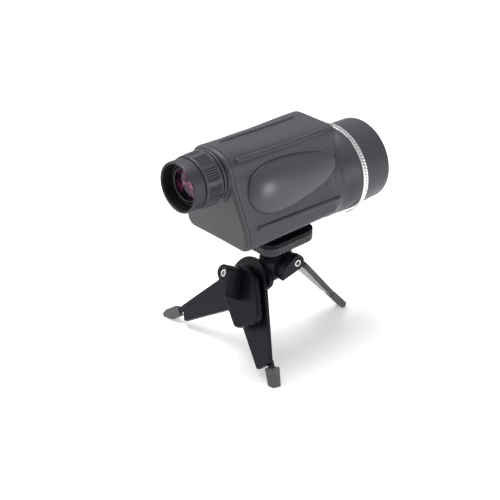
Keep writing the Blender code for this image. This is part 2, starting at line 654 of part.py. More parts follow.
def build_main_leg():
    """Right leg with the hub, the rear hinge boss and the knuckle of the front leg."""
    end = Vector(MAIN_END)
    half = Vector((-MAIN_DIR.y, MAIN_DIR.x)) * LEG_END_HALF
    leg = plate("main_leg",
                hull_outline(circle(*MAIN_HEAD, MAIN_HEAD_R, 24) + [end + half, end - half]),
                -LEG_OFF - LEG_T, -LEG_OFF, TRIPOD, lean)
    hub = hub_lathe("hub_core", [(0, 44.0), (4.5, 44.0), (HUB_R, 47.5), (HUB_R, 60.6), (0, 60.6)],
                    steps=28)
    # rounded at the front pin, tapering back into the hub
    knuckle = plate("knuckle_core", hull_outline(
        circle(FRONT_Y, FRONT_Z, 5.6, 14) + [(2.8, 51.0), (4.4, 49.5), (6.0, 58.0)]),
        -4.5, 15.0, CUTTER, ground, rot=PROFILE_YZ)
    head_disc = plate("head_disc", hull_outline(
        circle(-6.5, 53.5, 13.5, 20) + circle(6.6, 58.0, 6.0, 16)), -6.8, -1.0, CUTTER, lean)
    pin_boss = lathe("pin_boss", [(0, -9.0), (3.4, -9.0), (4.0, -8.4), (4.0, -2.0), (0, -2.0)],
                     CUTTER, left_pivot, steps=20)
    hub_bore = hub_lathe("hub_bore", band(0, CUP_R + FIT, 48.3, 63))
    collar_room = hub_lathe("collar_room", band(0, 8.15, 60.45, 80))
    knuckle_slot = box_cutter("knuckle_slot", (3.0, 11.5, 50.0), (9.8, 30, 70), ground)
    head_recess = lathe("front_head_recess", band(0, RECESS_R, 13.9, CUT_END),
                        CUTTER, front_pivot, rot=ACROSS, steps=20)
    # clears the side of the leaning plane where the left leg turns
    front_clear = plate("front_clear", [(-90, -30), (80, -30), (80, 62.3), (-90, 62.3)],
                        -LEG_OFF, 30, CUTTER, lean)
    join(leg, hub, knuckle, head_disc, pin_boss)
    carve(leg, hub_bore, collar_room, knuckle_slot, front_pin_hole, head_recess,
          left_pin_hole, front_clear)
    return leg


def about_pin(outline):
    """Leaning-plane points, measured from the rear hinge pin."""
    return [(x - REAR_PIN[0], y - REAR_PIN[1]) for x, y in outline]


def build_left_leg():
    outline = hull_outline(circle(*REAR_PIN, 8.6, 16)
                           + [(-7.8, 29.0), (-50.6, 12.3), (-42.7, 3.9)])
    return plate("left_leg", about_pin(outline), LEG_OFF, LEG_OFF + LEG_T, TRIPOD, left_pivot,
                 holes=[circle(0, 0, 2.3, 16)])


def build_hinge_cheek():
    outline = hull_outline(
        [(-14.5, 56.5), (-11.0, 59.8), (-6.0, 61.2), (2.3, 60.6), (6.5, 59.0), (9.0, 57.2)]
        + circle(8.8, 29.0, 5.3, 16) + circle(19.2, 36.2, 5.2, 16)
        + [(-10.2, 34.9), (-15.5, 40.0), (-17.0, 48.0)])
    cheek = plate("hinge_cheek", about_pin(outline), CHEEK_Z0, CHEEK_Z1, TRIPOD, left_pivot)
    boss_outline = hull_outline(circle(-9.0, 53.6, 5.2, 14) + circle(0.8, 41.2, 2.0, 8))
    boss = plate("cheek_boss", about_pin(boss_outline), CHEEK_Z1 - 1.0, BOSS_TOP,
                 CUTTER, left_pivot)
    recess = lathe("left_head_recess", band(0, RECESS_R, 18.1, CUT_END),
                   CUTTER, left_pivot, steps=20)
    join(cheek, boss)
    carve(cheek, left_pin_hole, recess)


main_leg = build_main_leg()
left_leg = build_left_leg()
build_hinge_cheek()

# ---------------------------------------------------------------- hinge hardware
def socket_screw(name, parent, rot, head_z, tail_z):
    """Hexagon-socket screw along local Z, head up."""
    shank_r, head_r, head_h = 1.75, 3.5, 1.5
    screw = lathe(name, [
        (0, tail_z), (shank_r, tail_z), (shank_r, head_z - head_h), (head_r, head_z - head_h),
        (head_r, head_z - 0.3), (head_r - 0.3, head_z), (0, head_z)],
        STEEL, parent, rot=rot, steps=24)
    carve(screw, plate(name + "_socket", circle(0, 0, 1.6, 6), head_z - 1.2, head_z + 2,
                       CUTTER, parent, rot=rot))


def washer(name, parent, rot, z0, z1):
    outer_r = 3.6
    lathe(name, [(PIN_HOLE_R, z1), (PIN_HOLE_R, z0), (outer_r, z0), (outer_r, z1)],
          STEEL, parent, rot=rot, steps=20)


socket_screw("left_hinge_screw", left_pivot, (0, 0, 0), BOSS_TOP, -8.2)
socket_screw("front_hinge_screw", front_pivot, ACROSS, 17.0, -6.2)
washer("left_hinge_washer", left_pivot, (0, 0, 0), 18.45, 19.1)
washer("front_hinge_washer", front_pivot, ACROSS, 14.2, 15.2)
plate("front_hinge_nut", circle(0, 0, 3.6, 6), -5.4, -2.8, STEEL, front_pivot, rot=ACROSS,
      holes=[circle(0, 0, 2.0, 12)])

# ---------------------------------------------------------------- feet of the rear legs
FOOT_W = 5.6
FOOT_GAP = 0.6          # foot ahead of the blade end
TONGUE_HALF_T = 1.0     # tongue on the blade end, in a pocket of the foot


def rear_foot(name, leg, end, along, down, outer, z0, z1, leg_mid, parent, origin=(0, 0)):
    """Block at the outer edge of a blade end, running along down to the ground.
    along is the blade direction, outer is +1 or -1 along (-along.y, along.x), leg_mid is
    the middle of the leg's thickness and origin is the parent in the leaning plane."""
    end = Vector(end)
    outward = Vector((-along.y, along.x)) * outer
    points = []
    for edge in (LEG_END_HALF, LEG_END_HALF - FOOT_W):
        for z in (z0, z1):
            top = end + along * FOOT_GAP + outward * edge
            ground_line = -z * LEAN_COS / LEAN_SIN      # the ground in the plane at height z
            bottom = top + down * ((top.y - ground_line) / -down.y)
            points += [(point.x - origin[0], point.y - origin[1], z) for point in (top, bottom)]
    foot = hull(name, points, RUBBER, parent)

    root = end + outward * (LEG_END_HALF - FOOT_W / 2) - along * 2.0
    loc = (root.x - origin[0], root.y - origin[1], 0)
    rot = (0, 0, math.degrees(math.atan2(along.y, along.x)))
    half_w, half_t = 1.3, TONGUE_HALF_T
    tongue = box_cutter(name + "_tongue", (0, -half_w, leg_mid - half_t),
                        (9.0, half_w, leg_mid + half_t), parent, loc, rot)
    half_w, half_t = half_w + FIT, half_t + FIT
    pocket = box_cutter(name + "_pocket", (-1, -half_w, leg_mid - half_t),
                        (9.6, half_w, leg_mid + half_t), parent, loc, rot)
    join(leg, tongue)
    carve(foot, pocket)


rear_foot("main_foot", main_leg, MAIN_END, MAIN_DIR, down=Vector((0.60, -0.80)), outer=1,
          z0=-7.6, z1=-0.4, leg_mid=-LEG_OFF - LEG_T / 2, parent=lean)
rear_foot("left_foot", left_leg, LEFT_END, LEFT_DIR, down=Vector((-0.55, -0.835)), outer=-1,
          z0=LEG_OFF, z1=0.95 + LEG_T, leg_mid=LEG_OFF + LEG_T / 2,
          parent=left_pivot, origin=REAR_PIN)

# ---------------------------------------------------------------- front leg
FRONT_LEG_Z0, FRONT_LEG_Z1 = 0.7, 4.6       # its two faces, off the hinge pin
FRONT_LEG_MID = (FRONT_LEG_Z0 + FRONT_LEG_Z1) / 2
FRONT_END = 60.0                            # blade end, from the pin


def build_front_leg():
    leg = plate("front_leg", hull_outline([
        (-15.0, 9.5), (-13.0, 7.4), (13.0, 7.4), (15.0, 9.5), (15.0, 14.0), (-15.0, 14.0),
        (-LEG_END_HALF, FRONT_END), (LEG_END_HALF, FRONT_END)]),
        FRONT_LEG_Z0, FRONT_LEG_Z1, TRIPOD, front_plane)
    ear = plate("front_ear", hull_outline(
        circle(0, 0, 4.6, 16) + [(10.0, 0.9), (10.0, 4.4), (6, -1.5)]),
        5.4, 11.4, CUTTER, front_plane, rot=PROFILE_YZ)
    tongue = box_cutter("front_tongue",
                        (0.9, FRONT_END - 3, FRONT_LEG_MID - TONGUE_HALF_T),
                        (3.9, FRONT_END + 8.0, FRONT_LEG_MID + TONGUE_HALF_T), front_plane)
    join(leg, ear)
    carve(leg, front_pin_hole)
    join(leg, tongue)


def build_front_foot():
    """Block in line with the front leg, its underside level with the ground."""
    along = Vector((0, math.cos(FRONT_ANGLE), math.sin(FRONT_ANGLE)))
    outward = Vector((0, -math.sin(FRONT_ANGLE), math.cos(FRONT_ANGLE)))
    points = []
    for x in (-1.6, 6.2):
        for offset in (FRONT_LEG_Z0 - 0.3, FRONT_LEG_Z1 + 0.3):
            top = along * (FRONT_END + FOOT_GAP) + outward * offset
            bottom = along * ((-FRONT_Z - outward.z * offset) / along.z) + outward * offset
            points += [(x, top.y, top.z), (x, bottom.y, -FRONT_Z)]
    foot = hull("front_foot", points, RUBBER, front_pivot)
    half_t = TONGUE_HALF_T + FIT
    pocket = box_cutter("front_pocket", (0.6, FRONT_END - 4, FRONT_LEG_MID - half_t),
                        (4.2, FRONT_END + 8.6, FRONT_LEG_MID + half_t), front_plane)
    carve(foot, pocket)


build_front_leg()
build_front_foot()

# ---------------------------------------------------------------- shading
for part in PARTS.objects:
    if part.type == 'MESH':
        part.data.shade_smooth()
        part.data.set_sharp_from_angle(angle=math.radians(32))
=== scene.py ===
"""Zoom spotting scope on a small three-legged tripod.

The optical axis lies along Y: the objective faces +Y, the eyepiece -Y, and +X is the right side.
Z is up and the feet stand on z = 0. Sizes are in millimetres; finish_mesh scales them to metres.
"""
import bpy
import bmesh
import math
import numpy as np
from mathutils import Vector, Matrix

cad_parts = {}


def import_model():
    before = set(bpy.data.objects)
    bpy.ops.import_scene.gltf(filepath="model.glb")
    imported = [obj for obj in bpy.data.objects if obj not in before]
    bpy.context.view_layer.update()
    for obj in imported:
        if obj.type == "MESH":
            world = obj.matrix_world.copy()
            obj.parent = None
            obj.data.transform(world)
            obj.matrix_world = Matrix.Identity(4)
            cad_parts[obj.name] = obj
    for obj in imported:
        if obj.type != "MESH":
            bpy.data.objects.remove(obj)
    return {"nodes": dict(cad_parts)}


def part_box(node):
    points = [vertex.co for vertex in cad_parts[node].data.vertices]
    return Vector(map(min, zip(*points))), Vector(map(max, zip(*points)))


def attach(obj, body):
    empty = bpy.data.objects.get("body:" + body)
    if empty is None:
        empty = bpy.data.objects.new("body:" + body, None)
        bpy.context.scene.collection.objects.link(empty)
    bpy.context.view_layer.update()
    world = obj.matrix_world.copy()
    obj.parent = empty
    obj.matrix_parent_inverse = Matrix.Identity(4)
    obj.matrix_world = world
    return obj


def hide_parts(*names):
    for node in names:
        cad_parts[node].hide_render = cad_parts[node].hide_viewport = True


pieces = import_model()["nodes"]
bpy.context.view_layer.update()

# ------------------------------------------------------------------ frames
MM = 0.001
ring_low, ring_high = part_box("silver_trim_ring")
SCOPE_X = (ring_low.x + ring_high.x) / 2 / MM
SCOPE_Y = ring_low.y / MM
SCOPE_Z = (ring_low.z + ring_high.z) / 2 / MM

EYE_Z = 29.8                # eyepiece axis above the objective axis
HEAD_Y = -54.0              # ball head, from the bright ring
TRIPOD_Y = -60.0
TRIPOD_TURN = 5.2           # degrees, clockwise from above
LEG_RISE, LEG_RUN = 0.878, 0.478        # slope of the plane of the two rear legs
PIVOT = (-8.0, 53.0)        # left leg hinge in that plane
HINGE_Z = 59.0              # front leg hinge above the floor
FRONT_TILT = -49.5          # degrees


def move(x, y, z):
    return Matrix.Translation((x, y, z))


def turn(degrees, axis):
    return Matrix.Rotation(math.radians(degrees), 4, axis)


# local Z of the eyepiece and objective frames runs along +Y
SCOPE_AT = move(SCOPE_X, SCOPE_Y, SCOPE_Z)
EYE_AT = SCOPE_AT @ move(0, 0, EYE_Z) @ turn(-90, 'X')
OBJECTIVE_AT = SCOPE_AT @ turn(-90, 'X')
HEAD_AT = move(SCOPE_X, SCOPE_Y + HEAD_Y, 0)
TRIPOD_AT = move(SCOPE_X, SCOPE_Y + TRIPOD_Y, 0) @ turn(-TRIPOD_TURN, 'Z')
# the hub lies straight under the head
HUB_AT = TRIPOD_AT @ move(-(HEAD_Y - TRIPOD_Y) * math.sin(math.radians(TRIPOD_TURN)),
                          (HEAD_Y - TRIPOD_Y) * math.cos(math.radians(TRIPOD_TURN)), 0)
KNUCKLE_AT = TRIPOD_AT @ turn(90, 'Z') @ turn(90, 'X')
LEG_AT = TRIPOD_AT @ move(0, -34.6, 0) @ Matrix.Rotation(math.atan2(LEG_RISE, LEG_RUN), 4, 'X')
PIVOT_AT = LEG_AT @ move(*PIVOT, 0)
FRONT_AT = TRIPOD_AT @ move(-2.0, 16.5, HINGE_Z)
FRONT_PIN_AT = FRONT_AT @ turn(90, 'Y')
FRONT_LEG_AT = FRONT_AT @ turn(FRONT_TILT, 'X')
FRONT_EAR_AT = FRONT_LEG_AT @ turn(90, 'Z') @ turn(90, 'X')


# ------------------------------------------------------------------ materials
class Shader:
    """A material with its Principled node and short ways to add texture nodes."""

    def __init__(self, name):
        self.material = bpy.data.materials.new(name)
        self.material.use_nodes = True
        self.tree = self.material.node_tree
        self.bsdf = self.tree.nodes["Principled BSDF"]
        self.coords = self.add("ShaderNodeTexCoord").outputs["Object"]

    def add(self, kind):
        return self.tree.nodes.new(kind)

    def feed(self, socket, value):
        """Links a socket, or sets a number or an RGB colour."""
        if isinstance(value, bpy.types.NodeSocket):
            self.tree.links.new(value, socket)
        else:
            socket.default_value = (*value, 1) if isinstance(value, tuple) else value

    def set(self, name, value):
        self.feed(self.bsdf.inputs[name], value)

    def noise(self, scale, detail, rough, vector=None, distortion=0.0):
        node = self.add("ShaderNodeTexNoise")
        node.inputs["Scale"].default_value = scale
        node.inputs["Detail"].default_value = detail
        node.inputs["Roughness"].default_value = rough
        node.inputs["Distortion"].default_value = distortion
        self.feed(node.inputs["Vector"], vector or self.coords)
        return node.outputs["Fac"]

    def ramp(self, factor, stops):
        """stops: (position, grey level or RGB)"""
        node = self.add("ShaderNodeValToRGB")
        while len(node.color_ramp.elements) < len(stops):
            node.color_ramp.elements.new(0.5)
        for element, (position, color) in zip(node.color_ramp.elements, stops):
            element.position = position
            element.color = (color,) * 3 + (1,) if isinstance(color, float) else (*color, 1)
        self.feed(node.inputs[0], factor)
        return node.outputs[0]

    def mix(self, factor, first, second):
        node = self.add("ShaderNodeMix")
        node.data_type = 'RGBA'
        self.feed(node.inputs[0], factor)
        self.feed(node.inputs[6], first)
        self.feed(node.inputs[7], second)
        return node.outputs[2]

    def math(self, operation, first, second, clamp=False):
        node = self.add("ShaderNodeMath")
        node.operation = operation
        node.use_clamp = clamp
        self.feed(node.inputs[0], first)
        self.feed(node.inputs[1], second)
        return node.outputs[0]

    def swing(self, noise, amount):
        """Noise centred on zero and scaled."""
        return self.math('MULTIPLY', self.math('SUBTRACT', noise, 0.5), amount)

    def bump(self, height, strength, distance):
        node = self.add("ShaderNodeBump")
        node.inputs["Strength"].default_value = strength
        node.inputs["Distance"].default_value = distance
        self.feed(node.inputs["Height"], height)
        self.set("Normal", node.outputs[0])


def scaled(color, factor, lift=0.0):
    return tuple(min(1.0, c * factor + lift) for c in color)


def plastic(name, color, rough, grain, bump, mottle, edge, dust=0.0, spec=0.5):
    """Moulded plastic, rubber or paint.

    grain: scale of the finest noise; mottle: slow colour change; edge: paleness of rubbed edges;
    dust: pale dust on faces that look up.
    """
    s = Shader(name)
    slow = s.noise(scale=38.0, detail=5.0, rough=0.6)
    middle = s.noise(scale=260.0, detail=4.0, rough=0.6)
    fine = s.noise(scale=grain, detail=3.0, rough=0.65)
    base = s.ramp(slow, [(0.32, scaled(color, 1 - mottle)), (0.68, scaled(color, 1 + mottle))])
    grains = s.ramp(fine, [(0.3, scaled(color, 0.8)), (0.7, scaled(color, 1.25))])
    base = s.mix(0.35, base, grains)
    if edge or dust:
        geometry = s.add("ShaderNodeNewGeometry")
    if edge:
        convex = s.ramp(geometry.outputs["Pointiness"], [(0.515, 0.0), (0.56, 1.0)])
        wear = s.math('MULTIPLY', convex, s.math('MULTIPLY', middle, edge * 1.6))
        base = s.mix(wear, base, scaled(color, 1.9, lift=0.03))
    if dust:
        normal = s.add("ShaderNodeSeparateXYZ")
        s.feed(normal.inputs[0], geometry.outputs["Normal"])
        upward = s.math('MAXIMUM', normal.outputs[2], 0.0)
        cover = s.math('MULTIPLY', upward, s.math('MULTIPLY', middle, dust))
        base = s.mix(cover, base, (0.42, 0.41, 0.40))
    s.set("Base Color", base)
    s.set("Roughness", s.math('ADD', s.swing(middle, 0.22), rough, clamp=True))
    s.set("Specular IOR Level", spec)
    s.set("Coat Roughness", 0.25)
    height = s.math('ADD', fine, s.math('MULTIPLY', middle, 0.35))
    s.bump(height, strength=bump, distance=0.00025)
    return s.material


# noise scale on each axis: machining lines across Y, across Z, or an even grain
TURNED_Y, TURNED_Z, EVEN = (60, 9000, 60), (60, 60, 9000), (900, 900, 900)


def metal(name, color, rough, lines, scratch, bump):
    """Metal with fine lines; scratch sets how much the roughness varies."""
    s = Shader(name)
    s.set("Metallic", 1.0)
    slow = s.noise(scale=60.0, detail=5.0, rough=0.6)
    mapping = s.add("ShaderNodeMapping")
    s.feed(mapping.inputs[0], s.coords)
    mapping.inputs["Scale"].default_value = lines
    marks = s.noise(scale=1.0, detail=3.0, rough=0.7, vector=mapping.outputs[0])
    base = s.ramp(slow, [(0.3, scaled(color, 0.88)), (0.7, scaled(color, 1.06))])
    s.set("Base Color", s.mix(s.math('MULTIPLY', marks, 0.35), base, scaled(color, 0.75)))
    smudged = s.math('ADD', s.swing(slow, scratch * 3), rough, clamp=True)
    s.set("Roughness", s.math('ADD', smudged, s.math('MULTIPLY', marks, scratch), clamp=True))
    s.bump(marks, strength=bump, distance=0.0001)
    return s.material


def glass_surface(s, smears, tint, coat):
    """Strong tinted mirror reflection with faint smears, common to all glass."""
    s.set("Specular Tint", tint)
    s.set("Specular IOR Level", 1.0)
    s.set("IOR", 1.7)
    s.set("Roughness", s.math('MULTIPLY', smears, 0.05))
    s.set("Coat Weight", coat)
    s.set("Coat Roughness", 0.015)
    s.set("Coat Tint", tint)
    s.bump(smears, strength=0.012, distance=0.0002)
    return s.material


def coated_glass(name, facing, oblique, deep=(0.01, 0.008, 0.015), transmission=0.0):
    """Coated lens whose reflection changes colour with the viewing angle."""
    s = Shader(name)
    weight = s.add("ShaderNodeLayerWeight")
    weight.inputs["Blend"].default_value = 0.45
    smears = s.noise(scale=120.0, detail=4.0, rough=0.6)
    angle = s.math('ADD', weight.outputs["Facing"], s.swing(smears, 0.12))
    tint = s.ramp(angle, [(0.0, facing), (0.55, oblique), (1.0, (0.25, 0.28, 0.35))])
    s.set("Base Color", s.ramp(smears, [(0.3, deep), (0.7, scaled(deep, 1.5))]))
    s.set("Transmission Weight", transmission)
    return glass_surface(s, smears, tint, coat=1.0)


def painted_reflection_glass(name):
    """Lens whose base colour is painted reflection: broken patches of dark and magenta and a few
    painted white glints; the specular tint follows the same patches.
    """
    s = Shader(name)
    smears = s.noise(scale=120.0, detail=4.0, rough=0.6)
    patches = s.noise(scale=105.0, detail=2.0, rough=0.5, distortion=0.9)
    # painted reflection: these patches drive both the specular tint and the base colour
    tint = s.ramp(patches, [(0.44, (0.05, 0.03, 0.06)), (0.53, (0.30, 0.10, 0.25)),
                            (0.62, (0.5, 0.25, 0.42)), (0.72, (1.0, 0.93, 1.0))])
    s.set("Base Color", s.ramp(patches, [
        (0.42, (0.004, 0.003, 0.006)), (0.51, (0.030, 0.006, 0.014)), (0.58, (0.12, 0.028, 0.060)),
        (0.65, (0.22, 0.10, 0.15)), (0.69, (0.90, 0.86, 0.92))]))
    return glass_surface(s, smears, tint, coat=0.0)


def floor_paper():
    """Nearly white paper that glows a little."""
    s = Shader("floor_paper")
    clouds = s.noise(scale=6.0, detail=4.0, rough=0.6)
    s.set("Base Color", s.ramp(clouds, [(0.3, (0.80, 0.80, 0.80)), (0.7, (0.83, 0.83, 0.83))]))
    s.set("Roughness", 0.85)
    s.set("Emission Color", s.ramp(clouds, [(0.3, (0.97, 0.97, 0.98)), (0.7, (1.0, 1.0, 1.0))]))
    s.set("Emission Strength", 0.28)
    s.set("Specular IOR Level", 0.15)
    return s.material


ARMOUR = plastic("armour", color=(0.031, 0.031, 0.043), rough=0.44, grain=2400, bump=0.16,
                 mottle=0.10, edge=0.30, dust=0.02, spec=0.36)
COVER = plastic("cover", color=(0.043, 0.042, 0.048), rough=0.46, grain=2400, bump=0.14,
                mottle=0.10, edge=0.30, dust=0.02, spec=0.36)
GRIP = plastic("grip", color=(0.031, 0.031, 0.043), rough=0.34, grain=2400, bump=0.06,
               mottle=0.10, edge=0.0, dust=0.02, spec=0.62)
BARREL = plastic("barrel", color=(0.030, 0.029, 0.040), rough=0.42, grain=3000, bump=0.10,
                 mottle=0.10, edge=0.35, dust=0.02, spec=0.38)
EYECUP = plastic("eyecup_rubber", color=(0.019, 0.018, 0.027), rough=0.46, grain=3000, bump=0.12,
                 mottle=0.12, edge=0.25, dust=0.02, spec=0.38)
MARK = plastic("marking_paint", color=(0.62, 0.62, 0.60), rough=0.5, grain=3000, bump=0.05,
               mottle=0.08, edge=0.0)
SILVER = metal("silver", color=(0.90, 0.90, 0.905), rough=0.16, lines=TURNED_Y, scratch=0.04,
               bump=0.05)
CELL = metal("cell", color=(0.045, 0.045, 0.048), rough=0.42, lines=TURNED_Y, scratch=0.08,
             bump=0.15)
# near-black matt used as painted shade: rings and sheets put in gaps and hollows where shade falls
PAINTED_SHADE = plastic("matt_painted_shade", color=(0.0055, 0.005, 0.0065), rough=0.6, grain=3000, bump=0.1,
                 mottle=0.1, edge=0.1, spec=0.14)
STEEL = metal("steel", color=(0.68, 0.68, 0.69), rough=0.24, lines=EVEN, scratch=0.08, bump=0.10)
STEEL_TURNED = metal("steel_turned", color=(0.62, 0.62, 0.63), rough=0.28, lines=TURNED_Z,
                     scratch=0.08, bump=0.10)
BRASS = metal("brass", color=(0.72, 0.52, 0.24), rough=0.28, lines=EVEN, scratch=0.08, bump=0.10)
TRIPOD = plastic("tripod", color=(0.0050, 0.0042, 0.0092), rough=0.33, grain=1500, bump=0.07,
                 mottle=0.14, edge=0.30, dust=0.005, spec=0.15)
# lighter copy of the tripod plastic for the front leg: painted glare, the same plastic as the other
# legs
TRIPOD_PAINTED_GLARE = plastic("tripod_painted_glare", color=(0.024, 0.023, 0.029), rough=0.33, grain=1500,
                       bump=0.07, mottle=0.14, edge=0.30, dust=0.005, spec=0.36)
FOOT = plastic("foot", color=(0.060, 0.060, 0.064), rough=0.62, grain=1900, bump=0.28,
               mottle=0.20, edge=0.30, dust=0.06, spec=0.35)
PLATE = plastic("plate_rubber", color=(0.020, 0.018, 0.024), rough=0.50, grain=1900, bump=0.18,
                mottle=0.15, edge=0.35, dust=0.04, spec=0.38)
PAD = plastic("pad", color=(0.0040, 0.0034, 0.0070), rough=0.30, grain=1800, bump=0.06,
              mottle=0.12, edge=0.20, dust=0.005, spec=0.16)
# eyepiece lens with painted reflection and painted white glints in its base colour
EYE_GLASS = painted_reflection_glass("coated")
FRONT_GLASS = coated_glass("coated_front", facing=(0.25, 0.62, 0.35), oblique=(0.45, 0.22, 0.75))
CLEAR = coated_glass("glass", facing=(0.8, 0.85, 0.85), oblique=(0.7, 0.8, 0.85),
                     deep=(0.3, 0.34, 0.34), transmission=0.7)

# ------------------------------------------------------------------ mesh helpers
BEVEL_ANGLE = math.radians(28.0)        # edges sharper than this are rounded


def weight_normals(ob):
    ob.modifiers.new("weighted", 'WEIGHTED_NORMAL').keep_sharp = True


def finish_mesh(name, bm, material, place, slot, body="scope_body", replaces=None, smooth=38.0,
                bevel=0.0, bevel_steps=3):
    """Rounds, cleans and places a mesh, makes its object, parents it to its body and hides the part
    it replaces.
    """
    if bevel:
        bm.normal_update()
        edges = [e for e in bm.edges
                 if len(e.link_faces) == 2 and e.calc_face_angle(0) > BEVEL_ANGLE]
        bmesh.ops.bevel(bm, geom=edges, offset=bevel, offset_type='OFFSET', segments=bevel_steps,
                        profile=0.5, affect='EDGES', clamp_overlap=True)
    bmesh.ops.remove_doubles(bm, verts=bm.verts, dist=1e-4)
    bmesh.ops.dissolve_degenerate(bm, edges=bm.edges, dist=1e-4)
    bmesh.ops.recalc_face_normals(bm, faces=bm.faces)
    bmesh.ops.transform(bm, matrix=Matrix.Diagonal((MM, MM, MM, 1)) @ place, verts=bm.verts)
    mesh = bpy.data.meshes.new(name)
    bm.to_mesh(mesh)
    bm.free()
    mesh.shade_smooth()
    mesh.set_sharp_from_angle(angle=math.radians(smooth))
    mesh.materials.append(material)
    ob = bpy.data.objects.new(name, mesh)
    bpy.context.scene.collection.objects.link(ob)
    if bevel:
        weight_normals(ob)
    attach(ob, body)
    if replaces:
        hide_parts(replaces)
    return ob


def fillet(points, radii, steps=5, closed=False):
    """Rounds the corners of a polygon; radii is one radius or one per corner."""
    count = len(points)
    if not isinstance(radii, (list, tuple)):
        radii = [radii] * count
    rounded = []
    for i, radius in enumerate(radii):
        corner = Vector(points[i])
        before = Vector(points[i - 1]) - corner
        after = Vector(points[(i + 1) % count]) - corner
        reach = min(before.length, after.length)
        is_end = not closed and i in (0, count - 1)
        if is_end or radius <= 0 or reach < 1e-6:
            rounded.append(tuple(corner))
            continue
        before = before / before.length
        after = after / after.length
        angle = math.acos(max(-1, min(1, before.dot(after))))
        if angle > math.pi - 0.03:
            rounded.append(tuple(corner))
            continue
        cut = min(radius / math.tan(angle / 2), reach * 0.48)
        fitted = cut * math.tan(angle / 2)
        centre = corner + (before + after).normalized() * (fitted / math.sin(angle / 2))
        start = corner + before * cut - centre
        end = corner + after * cut - centre
        sweep = math.acos(max(-1, min(1, start.normalized().dot(end.normalized()))))
        sign = 1 if start.x * end.y - start.y * end.x > 0 else -1
        for k in range(steps + 1):
            t = sign * sweep * k / steps
            rounded.append((centre.x + start.x * math.cos(t) - start.y * math.sin(t),
                            centre.y + start.x * math.sin(t) + start.y * math.cos(t)))
    return rounded


def lathe(name, profile, material, place, slot, segments=144, corner=0.25, corner_steps=4,
          ripple=None, **finish):
    """Turned piece round local Z from (radius, height) points.

    The profile is closed unless both ends lie on the axis. ripple(angle, height, radius) gives
    a change of radius.
    """
    solid = profile[0][0] < 1e-6 and profile[-1][0] < 1e-6
    bm = bmesh.new()
    rows = []
    for radius, height in fillet(profile, corner, corner_steps, closed=not solid):
        if radius < 1e-6:
            rows.append([bm.verts.new((0, 0, height))])
            continue
        row = []
        for i in range(segments):
            t = 2 * math.pi * i / segments
            local = radius + (ripple(t, height, radius) if ripple else 0)
            row.append(bm.verts.new((local * math.cos(t), local * math.sin(t), height)))
        rows.append(row)
    if not solid:
        rows.append(rows[0])
    for low, high in zip(rows, rows[1:]):
        for i in range(segments):
            j = (i + 1) % segments
            corners = (low[i % len(low)], low[j % len(low)],
                       high[j % len(high)], high[i % len(high)])
            bm.faces.new(list(dict.fromkeys(corners)))
    return finish_mesh(name, bm, material, place, slot, **finish)


def join(bm, low, high):
    """Band of quads between two closed rows of vertices."""
    for i in range(len(low)):
        j = (i + 1) % len(low)
        bm.faces.new((low[i], low[j], high[j], high[i]))


def skin_rows(bm, rows):
    """Skin through closed rows of points; returns the vertices."""
    verts = [[bm.verts.new(point) for point in row] for row in rows]
    for low, high in zip(verts, verts[1:]):
        join(bm, low, high)
    return verts


def capped_skin(rows):
    bm = bmesh.new()
    verts = skin_rows(bm, rows)
    bm.faces.new(verts[0])
    bm.faces.new(list(reversed(verts[-1])))
    return bm


def prism(name, outline, bottom, top, material, place, slot, **finish):
    """Counter-clockwise outline extruded along local Z."""
    bm = bmesh.new()
    low, high = skin_rows(bm, [[(x, y, z) for x, y in outline] for z in (bottom, top)])
    bm.faces.new(high)
    bm.faces.new(list(reversed(low)))
    return finish_mesh(name, bm, material, place, slot, **finish)


def hull(name, points, material, place, slot, **finish):
    """Convex hull of points."""
    bm = bmesh.new()
    for point in points:
        bm.verts.new(point)
    result = bmesh.ops.convex_hull(bm, input=bm.verts)
    spare = [g for g in result["geom_interior"] + result["geom_unused"]
             if isinstance(g, bmesh.types.BMVert)]
    bmesh.ops.delete(bm, geom=list(set(spare)), context='VERTS')
    bmesh.ops.dissolve_limit(bm, angle_limit=0.02, verts=bm.verts, edges=bm.edges)
    return finish_mesh(name, bm, material, place, slot, **finish)


def circle(cx, cy, radius, count=48, start=0.0, sweep=360.0, closed=True):
    """Points on a circle or, with closed off, on an arc that includes both ends."""
    spans = count if closed else count - 1
    angles = [math.radians(start + sweep * i / spans) for i in range(count)]
    return [(cx + radius * math.cos(t), cy + radius * math.sin(t)) for t in angles]


def hull2d(points):
    """Convex outline of flat points, counter-clockwise."""
    points = sorted(set((round(x, 5), round(y, 5)) for x, y in points))

    def half(sequence):
        chain = []
        for p in sequence:
            while len(chain) > 1 and (
                    (chain[-1][0] - chain[-2][0]) * (p[1] - chain[-2][1])
                    - (chain[-1][1] - chain[-2][1]) * (p[0] - chain[-2][0])) <= 1e-9:
                chain.pop()
            chain.append(p)
        return chain[:-1]
    return half(points) + half(points[::-1])


def smooth_step(x, start, end):
    t = np.clip((x - start) / (end - start), 0, 1)
    return t * t * (3 - 2 * t)


def even_points(outline, count):
    """Evenly spaced points round a closed outline."""
    closed = np.concatenate([outline, outline[:1]])
    steps = np.linalg.norm(np.diff(closed, axis=0), axis=1)
    length = np.concatenate([[0], np.cumsum(steps)])
    at = np.linspace(0, length[-1], count, endpoint=False)
    return np.stack([np.interp(at, length, closed[:, 0]), np.interp(at, length, closed[:, 1])], 1)


# ------------------------------------------------------------------ housing surface
# Each section is a box outline blended with the objective tube, as radii along fixed rays.
RAY_COUNT = 560
CORE_Z = 8.0                # start of the rays
CORE = np.array([0, CORE_Z])
RAYS = np.linspace(0, 2 * math.pi, RAY_COUNT, endpoint=False) + math.pi / 2   # from the crown
REAR_Y = -97.0
ROUND_Y, ROUND = -17.6, 1.9             # rounded front edge of the box: start and radius
FACE_Y, FACE_DEPTH, FACE_INSET = ROUND_Y + ROUND, 3.1, 17.0     # drafted front face
LEAN, LEAN_Z, LEAN_END = 6.0 / 64.0, 16.0, -70.0        # the rear slants; it fades out at LEAN_END
TUBE, TUBE_START = 28.2, 20.0           # tube radius, and where it emerges from the box
WALL = 1.4

